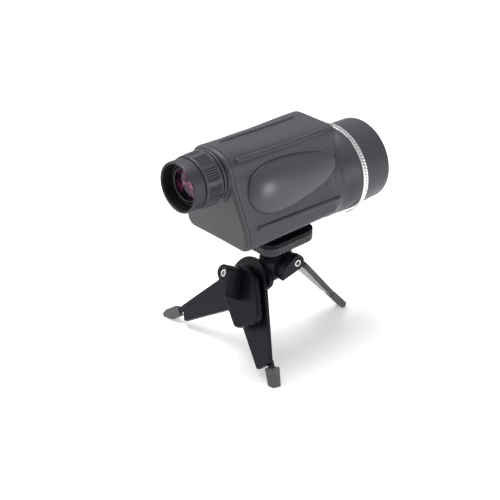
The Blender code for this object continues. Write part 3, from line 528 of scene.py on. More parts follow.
# y against the height of the roof, and y against the squareness of its arch
CROWN = ([-103, -97, -84, -60, -30, -18, -13], [48.35, 47.9, 46.3, 44.7, 43.3, 42.4, 42.0])
SQUARENESS = ([-103, -97, -84, -72, -60, -48, -36, -24, -17],
              [2.4, 2.6, 3.0, 3.3, 3.6, 4.1, 4.7, 5.5, 6.0])
# angle round the objective axis against the flared radius at the mouth
MOUTH = ([-90, -50, -30, -20, 0, 90, 180, 200, 210, 230, 270],
         [28.8, 28.9, 29.3, 30.2, 30.8, 30.8, 30.8, 30.2, 29.3, 28.9, 28.8])
mouth_angles = np.degrees(np.arctan2(CORE_Z + 28 * np.sin(RAYS), 28 * np.cos(RAYS)))
FLARE = np.interp(((mouth_angles + 90) % 360) - 90, *MOUTH)


def box_outline(y):
    """Dense closed outline (x, z) of the box at y, from the crown over the +X side."""
    crown = np.interp(y, *CROWN)
    power = 2 / np.interp(y, *SQUARENESS)
    half = 18.6 + 0.9 * smooth_step(y, -60.0, -18.0)
    spring = EYE_Z + 1.2 * np.clip((y + 103) / 90.0, 0, 1)
    arch = []
    for i in range(60):
        t = math.pi / 2 * i / 59
        arch.append((half * math.sin(t) ** power,
                     spring + (crown - spring) * max(math.cos(t), 0) ** power))
    side = [arch[-1], (28.05, 0.5), (28.5, -4.0), (28.5, -16.2), (0, -16.2)]
    right = arch + fillet(side, [0, 9.0, 6.0, 7.6, 0], 12)[1:]
    left = [(-x, z) for x, z in reversed(right[1:-1])]
    return np.array(right + left)


def box_radii(y):
    """Where the rays cut the box outline."""
    points = box_outline(y) - CORE
    angles = np.unwrap(np.arctan2(points[:, 1], points[:, 0]))[::-1]
    rays = (RAYS - angles[0]) % (2 * math.pi) + angles[0]
    angles = np.concatenate([angles, [angles[0] + 2 * math.pi]])
    points = np.concatenate([points[::-1], points[-1:]])
    i = np.clip(np.searchsorted(angles, rays, side='right') - 1, 0, len(angles) - 2)
    start = points[i]
    edge = points[i + 1] - start
    cross = np.cos(rays) * edge[:, 1] - np.sin(rays) * edge[:, 0]
    cross = np.where(np.abs(cross) < 1e-9, 1e-9, cross)
    return (start[:, 0] * edge[:, 1] - start[:, 1] * edge[:, 0]) / cross


def tube_radii(radius):
    """Where the rays cut a circle round the objective axis."""
    up = np.sin(RAYS)
    inside = radius * radius - CORE_Z * CORE_Z * (1 - up * up)
    return -CORE_Z * up + np.sqrt(np.maximum(inside, 1.0))


def smooth_max(p, q, width):
    h = np.clip(0.5 + 0.5 * (p - q) / width, 0, 1)
    return q + (p - q) * h + width * h * (1 - h)


def section(y, inset=0.0):
    """Skin points (x, z) at y; inset shrinks the box part."""
    radii = box_radii(y)
    # the flanks fade into the tube while the roof ends square
    flank = 1 - smooth_step(CORE_Z + radii * np.sin(RAYS), 18.0, 31.0)
    flank_inset = 17.0 * np.clip((y + 24) / 14, 0, 1) ** 2
    radii = radii - inset * (1 - flank) - flank * flank_inset
    if y > -40:
        if y < -18:
            tube = TUBE_START + (TUBE - TUBE_START) * np.clip((y + 37) / 19, 0, 1)
        else:
            tube = TUBE + (FLARE - TUBE) * smooth_step(y, -15.5, -1.2)
        width = 1.3 + 3.0 * smooth_step(y, -36.0, -18.0)
        radii = smooth_max(radii, tube_radii(tube), width)
    return radii * np.cos(RAYS), CORE_Z + radii * np.sin(RAYS)


def lean(y, z):
    """Distance by which the skin leans back at its rear end."""
    return (1 - smooth_step(y, REAR_Y, LEAN_END)) * (z + LEAN_Z) * LEAN


def housing():
    """Hollow shell: the skin turns in at both ends and runs back as an inner wall."""
    stations = [(y, 0.0) for y in np.linspace(REAR_Y, ROUND_Y, 230)]    # y, inset
    for k in range(1, 10):
        t = math.pi / 2 * k / 9
        stations.append((ROUND_Y + ROUND * math.sin(t), ROUND * (1 - math.cos(t))))
    for k in range(1, 17):
        stations.append((FACE_Y + FACE_DEPTH * k / 16, ROUND + (FACE_INSET - ROUND) * k / 16))
    for y in np.linspace(-12.4, -0.55, 34):
        stations.append((y, FACE_INSET + 0.5 * (y - FACE_Y - FACE_DEPTH)))
    rows = []
    for y, inset in stations:
        x, z = section(y, inset)
        rows.append(np.stack([x, y - lean(y, z), z], 1))
    bm = bmesh.new()
    verts = skin_rows(bm, rows)
    # inner wall: outer row it follows, shift along y
    inner = [(0, 0.0), (0, 1.6)]
    inner += [(i, 0.0) for i in range(14, len(rows) - 8, 9)]
    inner += [(-1, -1.6), (-1, 0.0)]
    loops = [verts[0]]
    for i, shift in inner:
        out = rows[i][:, [0, 2]] - CORE
        out = out * (1 - WALL / np.linalg.norm(out, axis=1, keepdims=True))
        loops.append([bm.verts.new((out[j, 0], rows[i][j, 1] + shift, CORE_Z + out[j, 1]))
                      for j in range(RAY_COUNT)])
    loops.append(verts[-1])
    for first, second in zip(loops, loops[1:]):
        for j in range(RAY_COUNT):
            k = (j + 1) % RAY_COUNT
            bm.faces.new((first[j], second[j], second[k], first[k]))
    finish_mesh("housing_shell", bm, ARMOUR, SCOPE_AT, "armour", replaces="main_body", smooth=30.0)


housing()


# ------------------------------------------------------------------ ribs on the housing
def skin_points(y, across, side, offsets):
    """Skin points (x, z) and outward normals (x, z) at offsets along the section at true y.

    Offsets start where x = across on the roof (side 0) or z = across on a flank (side -1 or 1).
    """
    ring_y = y
    for _ in range(5):      # find the unslanted section that reaches y
        x, z = section(min(ring_y, ROUND_Y) if side == 0 else ring_y)
        gap = (x if side == 0 else z) - across
        following = np.roll(gap, -1)
        on_side = (z > 32) if side == 0 else (x * side > 20)
        j = int(np.argmax((gap * following <= 0) & on_side))
        part = gap[j] / (gap[j] - following[j] + 1e-12)
        hit_z = z[j] + (z[(j + 1) % RAY_COUNT] - z[j]) * part
        ring_y = y + lean(ring_y, hit_z)
    near = np.arange(j - 24, j + 26) % RAY_COUNT
    x, z = x[near], z[near]
    along = np.concatenate([[0], np.cumsum(np.hypot(np.diff(x), np.diff(z)))])
    at = along[24] + (along[25] - along[24]) * part + offsets
    point_x, point_z = np.interp(at, along, x), np.interp(at, along, z)
    normal_x = -np.interp(at, along, np.gradient(z, along))
    normal_z = np.interp(at, along, np.gradient(x, along))
    length = np.hypot(normal_x, normal_z)
    if (normal_x * point_x + normal_z * (point_z - CORE_Z)).mean() < 0:
        length = -length
    return point_x, point_z, normal_x / length, normal_z / length


def rib(name, start, end, across_start, across_end, side, half, height):
    """Half-round bar with ball ends, swept over the skin."""
    ball = half * (1 - np.cos(np.linspace(0, math.pi / 2, 10)))
    stations = np.concatenate([start + ball, np.linspace(start + half, end - half, 110)[1:-1],
                               (end - ball)[::-1]])
    arc = np.linspace(0, math.pi, 15)
    offsets = np.concatenate([[-1.0], -np.cos(arc), [1.0]])
    heights = np.concatenate([[-0.5], np.sin(arc) ** 0.75, [-0.5]])    # the feet are sunk
    rows = []
    for y in stations:
        nearest = min((min(y - start, end - y)) / half, 1.0)
        scale = math.sqrt(max(1 - (1 - nearest) ** 2, 0.0)) * 0.999 + 0.001
        across = across_start + (across_end - across_start) * (y - start) / (end - start)
        x, z, normal_x, normal_z = skin_points(y, across, side, offsets * half * scale)
        rise = np.where(heights > 0, heights * height * scale, heights)
        rows.append(np.stack([x + normal_x * rise, np.full(len(x), y), z + normal_z * rise], 1))
    finish_mesh(name, capped_skin(rows), ARMOUR, SCOPE_AT, "armour", smooth=50.0)


# name, y start and end, place across at start and end, side, half width, height
for values in (("roof_rib_near", -98.5, -25.5, 15.5, 17.5, 0, 1.65, 1.75),
               ("roof_rib_far", -92.5, -27.0, -5.4, -8.0, 0, 1.5, 1.05),
               ("flank_rib_right", -91.5, -19.0, -1.2, -4.0, 1, 1.6, 1.6),
               ("flank_rib_left", -91.5, -19.0, -1.2, -4.0, -1, 1.6, 1.6)):
    rib(*values)


# ------------------------------------------------------------------ rear cover
def rear_cover():
    """Slanted plate with a rounded rim and a round hole for the eyepiece."""
    seam = np.stack(section(REAR_Y), 1) - CORE
    seam_length = np.linalg.norm(seam, axis=1, keepdims=True)
    seam_gap, rim_round, depth = 0.10, 2.4, 3.3

    def slanted(x, z, behind):
        return np.stack([x, REAR_Y - (z + LEAN_Z) * LEAN - behind, z], 1)

    def rim_ring(behind, inset):
        out = seam * (1 - inset / seam_length)
        return slanted(out[:, 0], out[:, 1] + CORE_Z, behind)

    rings = [rim_ring(0.25, 1.2), rim_ring(0.25, 0.35), rim_ring(0.32, 0.18),
             rim_ring(0.5, seam_gap)]
    for k in range(1, 9):
        t = math.pi / 2 * k / 8
        rings.append(rim_ring(depth - rim_round + rim_round * math.sin(t),
                              seam_gap + rim_round * (1 - math.cos(t))))
    edge_x, edge_z = rings[-1][:, 0], rings[-1][:, 2]
    angle = np.arctan2(edge_z - EYE_Z, edge_x)

    def eye_circle(radius):
        return radius * np.cos(angle), EYE_Z + radius * np.sin(angle)

    neck_x, neck_z = eye_circle(15.5)
    for k in range(1, 15):
        t = k / 14
        rings.append(slanted(edge_x * (1 - t) + neck_x * t, edge_z * (1 - t) + neck_z * t, depth))
    for behind in (depth, 0.25):
        rings.append(slanted(*eye_circle(14.0), behind))
    bm = bmesh.new()
    verts = skin_rows(bm, rings)
    join(bm, verts[-1], verts[0])
    finish_mesh("rear_cover_shell", bm, COVER, SCOPE_AT, "cover", replaces="rear_cover",
                smooth=34.0)


rear_cover()
# neck between the slanted cover and the eyepiece
lathe("rear_cover_neck", [(13.9, -105.65), (17.0, -105.65), (17.9, -105.0), (17.9, -99.0),
                          (13.9, -99.0)], ARMOUR, EYE_AT, "armour", segments=160, corner=0.5)

# ------------------------------------------------------------------ egg-shaped grips
GRIP_Z = 19.6
# y against half height
GRIP_Y = [-94.0, -93.5, -90, -86, -80, -72, -64, -56, -47.5, -39, -31, -24.6, -21, -18.8, -18.3]
GRIP_HALF = np.array([0, 0, 9.5, 12.3, 15.0, 15.9, 15.6, 14.8, 13.5, 11.8, 9.7, 7.0, 4.6, 0, 0])
FLANK_X, FLANK_TOP, FLANK_SPREAD = 18.6, 31.2, 9.45     # sloping flank under the pad


def grip(side_name, side):
    y = -93.5 + 74.7 * (0.5 - 0.5 * np.cos(np.pi * np.linspace(0, 1, 61)))
    half = np.sqrt(np.maximum(np.interp(y, GRIP_Y, GRIP_HALF ** 2), 0))
    upper = np.stack([y, GRIP_Z + half], 1)
    lower = np.stack([y, GRIP_Z - half], 1)[::-1]
    egg = even_points(np.concatenate([upper, lower[1:-1]]), 160)
    for _ in range(6):      # smooth the outline
        egg = (np.roll(egg, 1, 0) + 2 * egg + np.roll(egg, -1, 0)) / 4
    centre = np.array([-57.5, GRIP_Z])
    peak = np.array([-74.0, 20.6])
    normal = Vector((31.5, 0, 9.45)).normalized()
    # outline scale, height above the flank: rim, then the dome
    levels = [(1.006, -0.9), (1.006, 0.10), (1.0, 0.62), (0.990, 0.95), (0.975, 1.22)]
    for j in range(1, 27):
        scale = 0.955 * (1 - j / 26.0) + 0.01
        levels.append((scale, 1.25 + 4.6 * (1 - scale ** 2.1)))
    rings = []
    for scale, height in levels:
        ring = centre + (peak - centre) * (1 - min(scale, 1.0)) + (egg - centre) * scale
        z = ring[:, 1]
        over = np.maximum(z - FLANK_TOP, 0)
        x = FLANK_X + (FLANK_TOP - z) * (FLANK_SPREAD / FLANK_TOP) - over * 0.03 + over * 0.30
        rings.append(np.stack([side * (x + normal.x * height), ring[:, 0],
                               z + normal.z * height], 1))
    finish_mesh("grip_pad_" + side_name, capped_skin(rings), GRIP, SCOPE_AT, "grip",
                replaces="side_grip_" + side_name, smooth=40.0)


grip("right", 1)
grip("left", -1)


# ------------------------------------------------------------------ objective end
def ring_notches(t, height, radius):
    """Fine notches round the middle of the bright ring."""
    if radius < 30.5 or not 1.25 < height < 3.05:
        return 0.0
    return -0.22 * (0.5 + 0.5 * math.cos(t * 90)) ** 6


bright_ring = lathe(
    "bright_ring",
    [(27.3, 0.0), (30.5, 0.0), (31.0, 0.35), (31.0, 1.2), (31.0, 1.3), (31.0, 2.15), (31.0, 3.0),
     (31.0, 3.1), (31.0, 3.6), (30.9, 3.8), (30.5, 3.95), (27.3, 3.95)],
    SILVER, OBJECTIVE_AT, "silver", replaces="silver_trim_ring", segments=720, corner=0.04,
    corner_steps=2, ripple=ring_notches)
# the bottoms of the notches are dark
bright_ring.data.materials.append(CELL)
for face in bright_ring.data.polygons:
    radius = math.hypot(face.center.x / MM - SCOPE_X, face.center.z / MM - SCOPE_Z)
    if 30.6 < radius < 30.93 and 1.2 < face.center.y / MM - SCOPE_Y < 3.1:
        face.material_index = 1

hood_steps = []
for k in range(9):
    hood_steps += [(26.1, 24.6 - k * 1.6), (25.8, 24.1 - k * 1.6)]
lathe("hood_sleeve",
      [(26.1, 25.6), (26.6, 26.9), (27.3, 27.4), (27.85, 27.1), (28.05, 26.3), (28.35, 16.0),
       (28.75, 6.2), (28.75, 5.0), (28.3, 4.3), (26.75, 4.3), (26.75, -12), (25.8, -12),
       (25.8, 10.8)] + hood_steps[::-1],
      BARREL, OBJECTIVE_AT, "barrel", body="focus_sleeve", replaces="focus_barrel", segments=192,
      corner=0.22, corner_steps=3)
lathe("objective_mount",
      [(22.6, -4.0), (25.5, -4.0), (25.5, 8.5), (24.6, 8.5), (24.6, -2.0), (22.6, -2.0)],
      CELL, OBJECTIVE_AT, "cell", body="objective_carriage", replaces="objective_cell",
      corner=0.15)
front_dome = [(24.0 * math.cos(t), 4.5 + 3.9 * math.sin(t))
              for t in np.linspace(0.06, math.pi / 2, 26)[:-1]]
lathe("front_lens", [(0, 0.6), (24.3, 2.2), (24.3, 4.2)] + front_dome + [(0, 8.4)],
      FRONT_GLASS, OBJECTIVE_AT, "coated", body="objective_carriage",
      replaces="objective_crown_lens", corner=0.05, corner_steps=2)
lathe("front_lens_ring", [(22.9, 7.3), (23.3, 6.1), (24.35, 5.0), (24.5, 7.9), (23.4, 8.1)],
      CELL, OBJECTIVE_AT, "cell", body="objective_carriage", replaces="objective_retainer",
      corner=0.12)

# ------------------------------------------------------------------ eyepiece
lathe("eyepiece_collar_ring",
      [(13.7, -107.75), (16.6, -107.75), (17.0, -107.45), (17.0, -106.3), (16.7, -105.95),
       (13.7, -105.95)],
      COVER, EYE_AT, "barrel", replaces="eyepiece_collar", segments=160)
# painted shade: a near-black ring inside the gap so that it reads as a deep shaded slot
lathe("eyepiece_gap_painted_shade", [(15.3, -109.6), (16.25, -109.4), (16.25, -107.2), (15.3, -107.0)],
      PAINTED_SHADE, EYE_AT, "barrel", segments=160, corner=0.1)


def zoom_ribs(t, height, radius):
    """Groups of fine axial ribs with flat pads between them."""
    if radius < 16.8 or not -120.2 < height < -109.9:
        return 0.0
    angle = (math.degrees(t) + 14.0) % 36.0 - 18.0
    if abs(angle) > 12.5:
        return 0.0
    fade = min(1.0, (height + 120.2) / 0.6, (-109.9 - height) / 0.6)
    return -0.72 * fade * (0.5 - 0.5 * math.cos(math.radians(angle) * 72.0)) ** 1.5


zoom_side = [(17.2 + 0.3 * min(1.0, (z + 121.2) / 6.0), z) for z in np.linspace(-121.2, -109.3, 22)]
lathe("zoom_grip_ring",
      [(15.2, -121.75), (16.7, -121.75), (17.1, -121.5)] + zoom_side
      + [(17.35, -109.1), (17.0, -108.9), (16.4, -108.9), (16.4, -109.8), (15.2, -109.8)],
      BARREL, EYE_AT, "barrel", body="zoom_control", replaces="zoom_ring", segments=720,
      corner=0.12, corner_steps=3, ripple=zoom_ribs, smooth=50.0)


def dial_tick(number, degrees):
    """Raised tick on the collar; every fourth is longer."""
    length = 1.6 if number % 4 == 0 else 1.0
    bm = bmesh.new()
    bmesh.ops.create_cube(bm, size=1.0)
    bmesh.ops.scale(bm, vec=(0.12, 0.36, length), verts=bm.verts)
    place = (EYE_AT @ (Matrix.Rotation(math.radians(degrees), 4, 'Z')
                       @ move(17.02, 0, -106.35 - length / 2 - 0.15)))
    finish_mesh("dial_tick_%02d" % number, bm, MARK, place, "barrel", smooth=30, bevel=0.04,
                bevel_steps=2)


for number, degrees in enumerate(range(40, 121, 10)):
    dial_tick(number, degrees)

cup_steps = []
for k in range(8):
    cup_steps += [(14.75 - 0.05 * k, -129.6 + 0.75 * k), (14.5 - 0.05 * k, -129.3 + 0.75 * k)]
lathe("eyecup_sleeve",
      [(13.8, -122.9), (13.8, -118.55), (14.9, -118.55), (14.9, -121.9), (16.1, -121.95),
       (16.42, -122.3), (16.42, -123.6), (16.42, -129.9), (16.2, -130.7), (15.6, -131.0),
       (15.1, -130.7), (14.8, -130.1)] + cup_steps + [(14.3, -123.5)],
      EYECUP, EYE_AT, "eyecup_rubber", replaces="eyecup", segments=192, corner=0.16,
      corner_steps=3)
# painted shade: a near-black sheet over the inner wall of the eyecup, darker than its rubber
lathe("eyecup_painted_shade",
      [(14.95, -130.1), (14.75, -130.1)] + [(radius - 0.18, z) for radius, z in cup_steps]
      + [(14.1, -123.5), (14.5, -123.5), (14.9, -126.0)],
      PAINTED_SHADE, EYE_AT, "eyecup_rubber", segments=160, corner=0.08, corner_steps=2)
lathe("eye_lens_holder",
      [(9.8, -124.1), (10.0, -124.7), (10.7, -125.1), (11.4, -124.9), (12.0, -124.3),
       (13.2, -124.5), (13.9, -124.3), (13.9, -123.2), (9.8, -123.2)],
      CELL, EYE_AT, "barrel", replaces="eye_lens_retainer", segments=160, corner=0.15)
# eye lens: its base colour is painted reflection with painted glints
lathe("eye_lens_glass",
      [(0, -124.3), (2.5, -124.26), (5, -124.08), (7.5, -123.75), (10.1, -123.2), (11.6, -122.7),
       (11.6, -118.6), (6, -117.6), (0, -117.2)],
      EYE_GLASS, EYE_AT, "coated", replaces="eye_lens", segments=128, corner=0.05, corner_steps=2)

# ------------------------------------------------------------------ head under the housing
lathe("belly_boss",
      [(6.0, -24.0), (8.2, -24.0), (8.7, -23.4), (9.4, -16.4), (10.6, -15.4), (6.0, -15.4)],
      ARMOUR, SCOPE_AT @ move(0, HEAD_Y, 0), "armour", segments=96, corner=0.4)

PLATE_HALF_X, PLATE_HALF_Y, PLATE_CORNER = 20.6, 21.5, 8.5
PLATE_SHIFT = 1.5           # plate centre in front of the ball


def plate_outline(inset=0.0, corner_points=14):
    corner = PLATE_CORNER - inset
    x0 = PLATE_HALF_X - inset - corner
    y0 = PLATE_HALF_Y - inset - corner
    points = []
    for sign_x, sign_y, start in ((1, 1, 0), (-1, 1, 90), (-1, -1, 180), (1, -1, 270)):
        arc = circle(sign_x * x0, sign_y * y0, corner, corner_points, start, 90, closed=False)
        points += [(x, y + PLATE_SHIFT) for x, y in arc]
    return points


# inset, height
CUSHION = [(0.9, 80.25), (0.35, 80.3), (0.05, 80.55), (0.0, 80.9), (0.28, 81.15), (0.28, 81.35),
           (0.0, 81.55), (0.0, 81.9), (0.1, 82.3), (0.45, 82.62), (1.1, 82.72)]
finish_mesh("platform_cushion",
            capped_skin([[(x, y, z) for x, y in plate_outline(inset)] for inset, z in CUSHION]),
            PAD, HEAD_AT, "pad", replaces="platform_pad")

# height, inset, depth of the flutes
PLATE_RIM = [(79.88, 1.0, 0), (79.85, 0.4, 0), (79.6, 0.08, 0), (79.2, 0.0, 0), (78.0, 0.0, 0.0),
             (77.55, 0.0, 0.35), (77.1, 0.0, 0.85), (76.2, 0.0, 1.0), (75.0, 0.15, 1.0),
             (74.4, 0.35, 1.0), (74.1, 0.8, 0.8)]
# height, scale, share of roundness
PLATE_DISH = [(73.9, 0.80, 0.0), (72.6, 0.74, 0.05), (71.2, 0.66, 0.15), (69.8, 0.57, 0.35),
              (68.2, 0.46, 0.7), (67.0, 0.375, 0.9), (66.6, 0.34, 1.0)]


def platform():
    """Plate with a fluted rim and a dished underside that narrows to the neck."""
    count, flutes = 560, 52
    rim = even_points(np.array(plate_outline(corner_points=40)), count)
    tangent = np.roll(rim, -1, 0) - np.roll(rim, 1, 0)
    normal = np.stack([tangent[:, 1], -tangent[:, 0]], 1)
    normal /= np.linalg.norm(normal, axis=1, keepdims=True)
    wave = (0.5 + 0.5 * np.cos(np.arange(count) / count * 2 * math.pi * flutes)) ** 2.2
    rows = []
    for z, inset, fluting in PLATE_RIM:
        ring = rim - normal * (inset + fluting * 0.38 * wave)[:, None]
        rows.append(np.column_stack([ring, np.full(count, z)]))
    centre = np.array([0.0, PLATE_SHIFT])
    out = rim - centre
    ray = out / np.linalg.norm(out, axis=1, keepdims=True)
    for z, scale, roundness in PLATE_DISH:
        square = 1 - roundness
        ring = centre * square + (out * square + ray * 20.5 * roundness) * scale
        ring = ring - ray * (0.35 * square * wave)[:, None]
        rows.append(np.column_stack([ring, np.full(count, z)]))
    plate = finish_mesh("platform_body", capped_skin(rows), PLATE, HEAD_AT, "tripod",
                        replaces="platform_plate", smooth=36.0)
    plate.data.materials.append(TRIPOD)
    for face in plate.data.polygons:
        if face.center.z < 74.0 * MM:
            face.material_index = 1


platform()

BALL_Z, BALL, SOCKET = 57, 4.3, 4.62    # ball centre, ball radius, socket radius
ball = [(BALL * math.sin(t), BALL_Z - BALL * math.cos(t)) for t in np.linspace(0.15, 2.55, 26)]
lathe("ball_and_stem",
      [(0, BALL_Z - BALL)] + ball
      + [(2.2, 61.6), (2.2, 64.2), (4.2, 65.3), (4.2, 67.5), (0, 67.5)],
      STEEL_TURNED, HEAD_AT, "steel", replaces="ball_stud", segments=96)
socket = [(SOCKET * math.sin(t), BALL_Z - SOCKET * math.cos(t))
          for t in np.linspace(1.55, 0.2, 14)]
lathe("socket_cup", [(0, 48.6), (5.6, 48.6), (5.6, 60.6), (4.7, 60.6)] + socket + [(0, 52.4)],
      CELL, HEAD_AT, "cell", body="swivel_cup", replaces="ball_cup", segments=96, corner=0.1)


def collar_notches(t, height, radius):
    return -0.18 * (0.5 + 0.5 * math.cos(t * 40)) ** 3 if radius > 6.9 else 0.0


lathe("collar_ring",
      [(3.8, 60.9), (7.3, 60.9), (7.4, 61.1), (7.4, 61.7), (6.6, 62.5), (5.8, 62.8), (4.2, 62.8)],
      TRIPOD, HEAD_AT, "barrel", body="collar", replaces="lock_collar", segments=240,
      corner=0.15, corner_steps=3, ripple=collar_notches)

# ------------------------------------------------------------------ main leg and hub
LEG_TOP, LEG_THICK, BLADE_HALF = -0.15, 3.3, 6.3
LEG_BOTTOM = LEG_TOP - LEG_THICK
MAIN_ROOT, MAIN_END = (-6.5, 52.0), (37.8, 10.5)


def main_blade():
    """Blade outline: a disc at the root that narrows to the leg's end."""
    end = Vector(MAIN_END)
    along = (end - Vector(MAIN_ROOT)).normalized()
    across = Vector((-along.y, along.x)) * BLADE_HALF
    tip = [tuple(end + across - along * 6), tuple(end + across),
           tuple(end - across), tuple(end - across - along * 6)]
    return hull2d(circle(*MAIN_ROOT, 16.0) + fillet(tip, 0.9))


def tripod_prism(name, outline, bottom, top, place, bevel, **finish):
    prism(name, outline, bottom, top, TRIPOD, place, "tripod", body="tripod_base", bevel=bevel,
          **finish)


tripod_prism("main_leg_blade", main_blade(), LEG_BOTTOM, LEG_TOP, LEG_AT, 0.45,
             replaces="main_leg")
tripod_prism("main_leg_back", hull2d(circle(-6.5, 53.5, 13.2) + circle(6.2, 57.8, 5.6, 24)),
             -6.8, LEG_BOTTOM + 0.3, LEG_AT, 0.7, bevel_steps=4)
tripod_prism("main_leg_rib", hull2d(circle(4, 41, 4.0, 20) + circle(33, 14.2, 1.6, 14)),
             LEG_BOTTOM - 1.1, LEG_BOTTOM + 0.4, LEG_AT, 0.5)
lathe("hub_barrel",
      [(0, 44.1), (4.2, 44.1), (6.4, 46.2), (7.6, 49.5), (7.6, 60.0), (7.2, 60.4), (0, 60.4)],
      TRIPOD, HUB_AT, "tripod", body="tripod_base", segments=96, corner=0.6)

# two cheeks and a web that hold the front leg
cheek = hull2d(circle(16.5, 59.0, 5.6, 40) + [(2.8, 51.0), (4.4, 49.5), (6.0, 58.0)])
tripod_prism("knuckle_cheek_near", cheek, 9.8, 15.0, KNUCKLE_AT, 0.45)
tripod_prism("knuckle_cheek_far", cheek, -4.5, 3.0, KNUCKLE_AT, 0.45)
tripod_prism("knuckle_web",
             hull2d([(2.9, 51.1), (4.4, 49.7), (6.1, 57.9), (10.6, 60.6), (10.9, 51.7)]),
             2.5, 10.3, KNUCKLE_AT, 0.3)
lathe("pin_boss", [(0, -9.0), (3.2, -9.0), (4.0, -8.4), (4.4, -5.5), (0, -5.5)],
      TRIPOD, PIVOT_AT, "tripod", body="tripod_base", segments=64, corner=0.4)


# ------------------------------------------------------------------ left leg and its hinge
def from_pivot(points):
    return [(x - PIVOT[0], y - PIVOT[1]) for x, y in points]


LEFT_BOTTOM = 0.15
left_tip = fillet([(-44.6, 20.0), (-50.6, 12.3), (-42.7, 3.9), (-37.0, 8.0)], 0.9)
prism("left_leg_blade", from_pivot(hull2d(circle(*PIVOT, 8.6) + [(-7.8, 29.0)] + left_tip)),
      LEFT_BOTTOM, LEFT_BOTTOM + LEG_THICK, TRIPOD, PIVOT_AT, "tripod", body="left_leg_body",
      replaces="left_leg", bevel=0.45)
paddle = hull2d([(-14.5, 56.5), (-11.0, 59.8), (-6.0, 61.2), (2.3, 60.6), (6.5, 59.0), (9.0, 57.2)]
                + circle(8.8, 29.0, 5.3, 40) + circle(19.2, 36.2, 5.2, 40)
                + [(-10.2, 34.9), (-15.5, 40.0), (-17.0, 48.0)])
tripod_prism("hinge_paddle", from_pivot(fillet(paddle, 2.5, 3, closed=True)), 3.75, 8.35,
             PIVOT_AT, 1.05, replaces="hinge_cheek", bevel_steps=5)


def hinge_wedge():
    """Wedge-shaped boss on the paddle with a round recess for the screw."""
    outline = from_pivot(hull2d(circle(-9.0, 53.6, 5.2, 40) + circle(1.3, 40.5, 0.9, 16)))
    angles = [math.atan2(y, x) for x, y in outline]
    rows = []
    for z, scale in ((7.6, 1.0), (20.1, 0.965), (20.42, 0.955), (20.62, 0.932), (20.7, 0.90)):
        rows.append([(x * scale, y * scale, z) for x, y in outline])
    for z, radius in ((20.7, 3.4), (20.5, 3.18), (18.2, 3.15)):
        rows.append([(radius * math.cos(t), radius * math.sin(t), z) for t in angles])
    wedge = finish_mesh("hinge_wedge", capped_skin(rows), TRIPOD, PIVOT_AT, "tripod",
                        body="tripod_base", smooth=24.0)
    weight_normals(wedge)


hinge_wedge()


def cap_screw(name, place, top, tail, replaces):
    """Screw from tail to top with a chamfered head and a hexagon socket."""
    count = 72
    turns = [2 * math.pi * i / count for i in range(count)]
    hexagon = [1.3 / math.cos(((360.0 * i / count + 30) % 60 - 30) * math.pi / 180) * 0.99
               for i in range(count)]
    rows = []
    for radius, z in ((1.5, tail), (1.5, top - 2.2), (2.4, top - 2.2), (2.5, top - 2.05),
                      (2.5, top - 0.4), (2.4, top - 0.12), (2.2, top), (1.75, top)):
        rows.append([(radius * math.cos(t), radius * math.sin(t), z) for t in turns])
    for scale, z in ((1.12, top), (1.0, top - 0.22), (1.0, top - 1.7)):
        rows.append([(radius * scale * math.cos(t), radius * scale * math.sin(t), z)
                     for radius, t in zip(hexagon, turns)])
    bm = bmesh.new()
    verts = skin_rows(bm, rows)
    bm.faces.new(verts[0])
    tip = bm.verts.new((0, 0, top - 2.1))
    for i in range(count):
        bm.faces.new((verts[-1][i], verts[-1][(i + 1) % count], tip))
    finish_mesh(name, bm, STEEL, place, "steel", body="tripod_base", replaces=replaces,
                smooth=30.0)


cap_screw("hinge_screw_left", PIVOT_AT, 20.5, -8.2, "left_hinge_screw")
cap_screw("hinge_screw_front", FRONT_PIN_AT, 17.25, -6.2, "front_hinge_screw")
# painted shadow: a thin near-black ring round the screw head that stands in for the shade of a
# recess
lathe("screw_painted_shadow_front",
      [(2.55, 15.5), (2.55, 17.02), (2.75, 17.06), (3.0, 17.06), (3.15, 17.0), (3.15, 15.5)],
      PAINTED_SHADE, FRONT_PIN_AT, "tripod", body="tripod_base", segments=72, corner=0.03,
      corner_steps=2)
prism("hinge_nut_front", circle(0, 0, 3.6, 6), -5.4, -2.8, STEEL, FRONT_PIN_AT, "steel",
      body="tripod_base", replaces="front_hinge_nut", bevel=0.3)


# ------------------------------------------------------------------ main and left feet
def foot_tongue(name, root, end, side, middle, body):
    """Small block from a leg's end into its foot; side picks the blade edge, middle its height."""
    along = (Vector(end) - Vector(root)).normalized()
    across = Vector((-along.y, along.x)) * side
    start = Vector(end) + across * (BLADE_HALF - 2.8) - along * 1.5
    hull(name, [(start.x + along.x * u + across.x * v, start.y + along.y * u + across.y * v,
                 middle + w) for u in (-1, 9) for v in (-1.9, 1.9) for w in (-1.2, 1.2)],
         TRIPOD, LEG_AT, "tripod", body=body, bevel=0.2, bevel_steps=2)


# four corners at the leg, four on the floor
hull("foot_main",
     [(39.8, -30.0, 8.5), (36.6, -22.8, 6.2), (44.9, -21.3, 9.0), (48.1, -28.5, 11.3),
      (47.3, -32.7, 0), (51.5, -31.4, 0), (52.5, -26.1, 0), (48.3, -27.4, 0)],
     FOOT, TRIPOD_AT, "foot", body="tripod_base", replaces="main_foot", bevel=0.5, bevel_steps=4)
foot_tongue("foot_main_tongue", MAIN_ROOT, MAIN_END, 1, -4.0, "tripod_base")

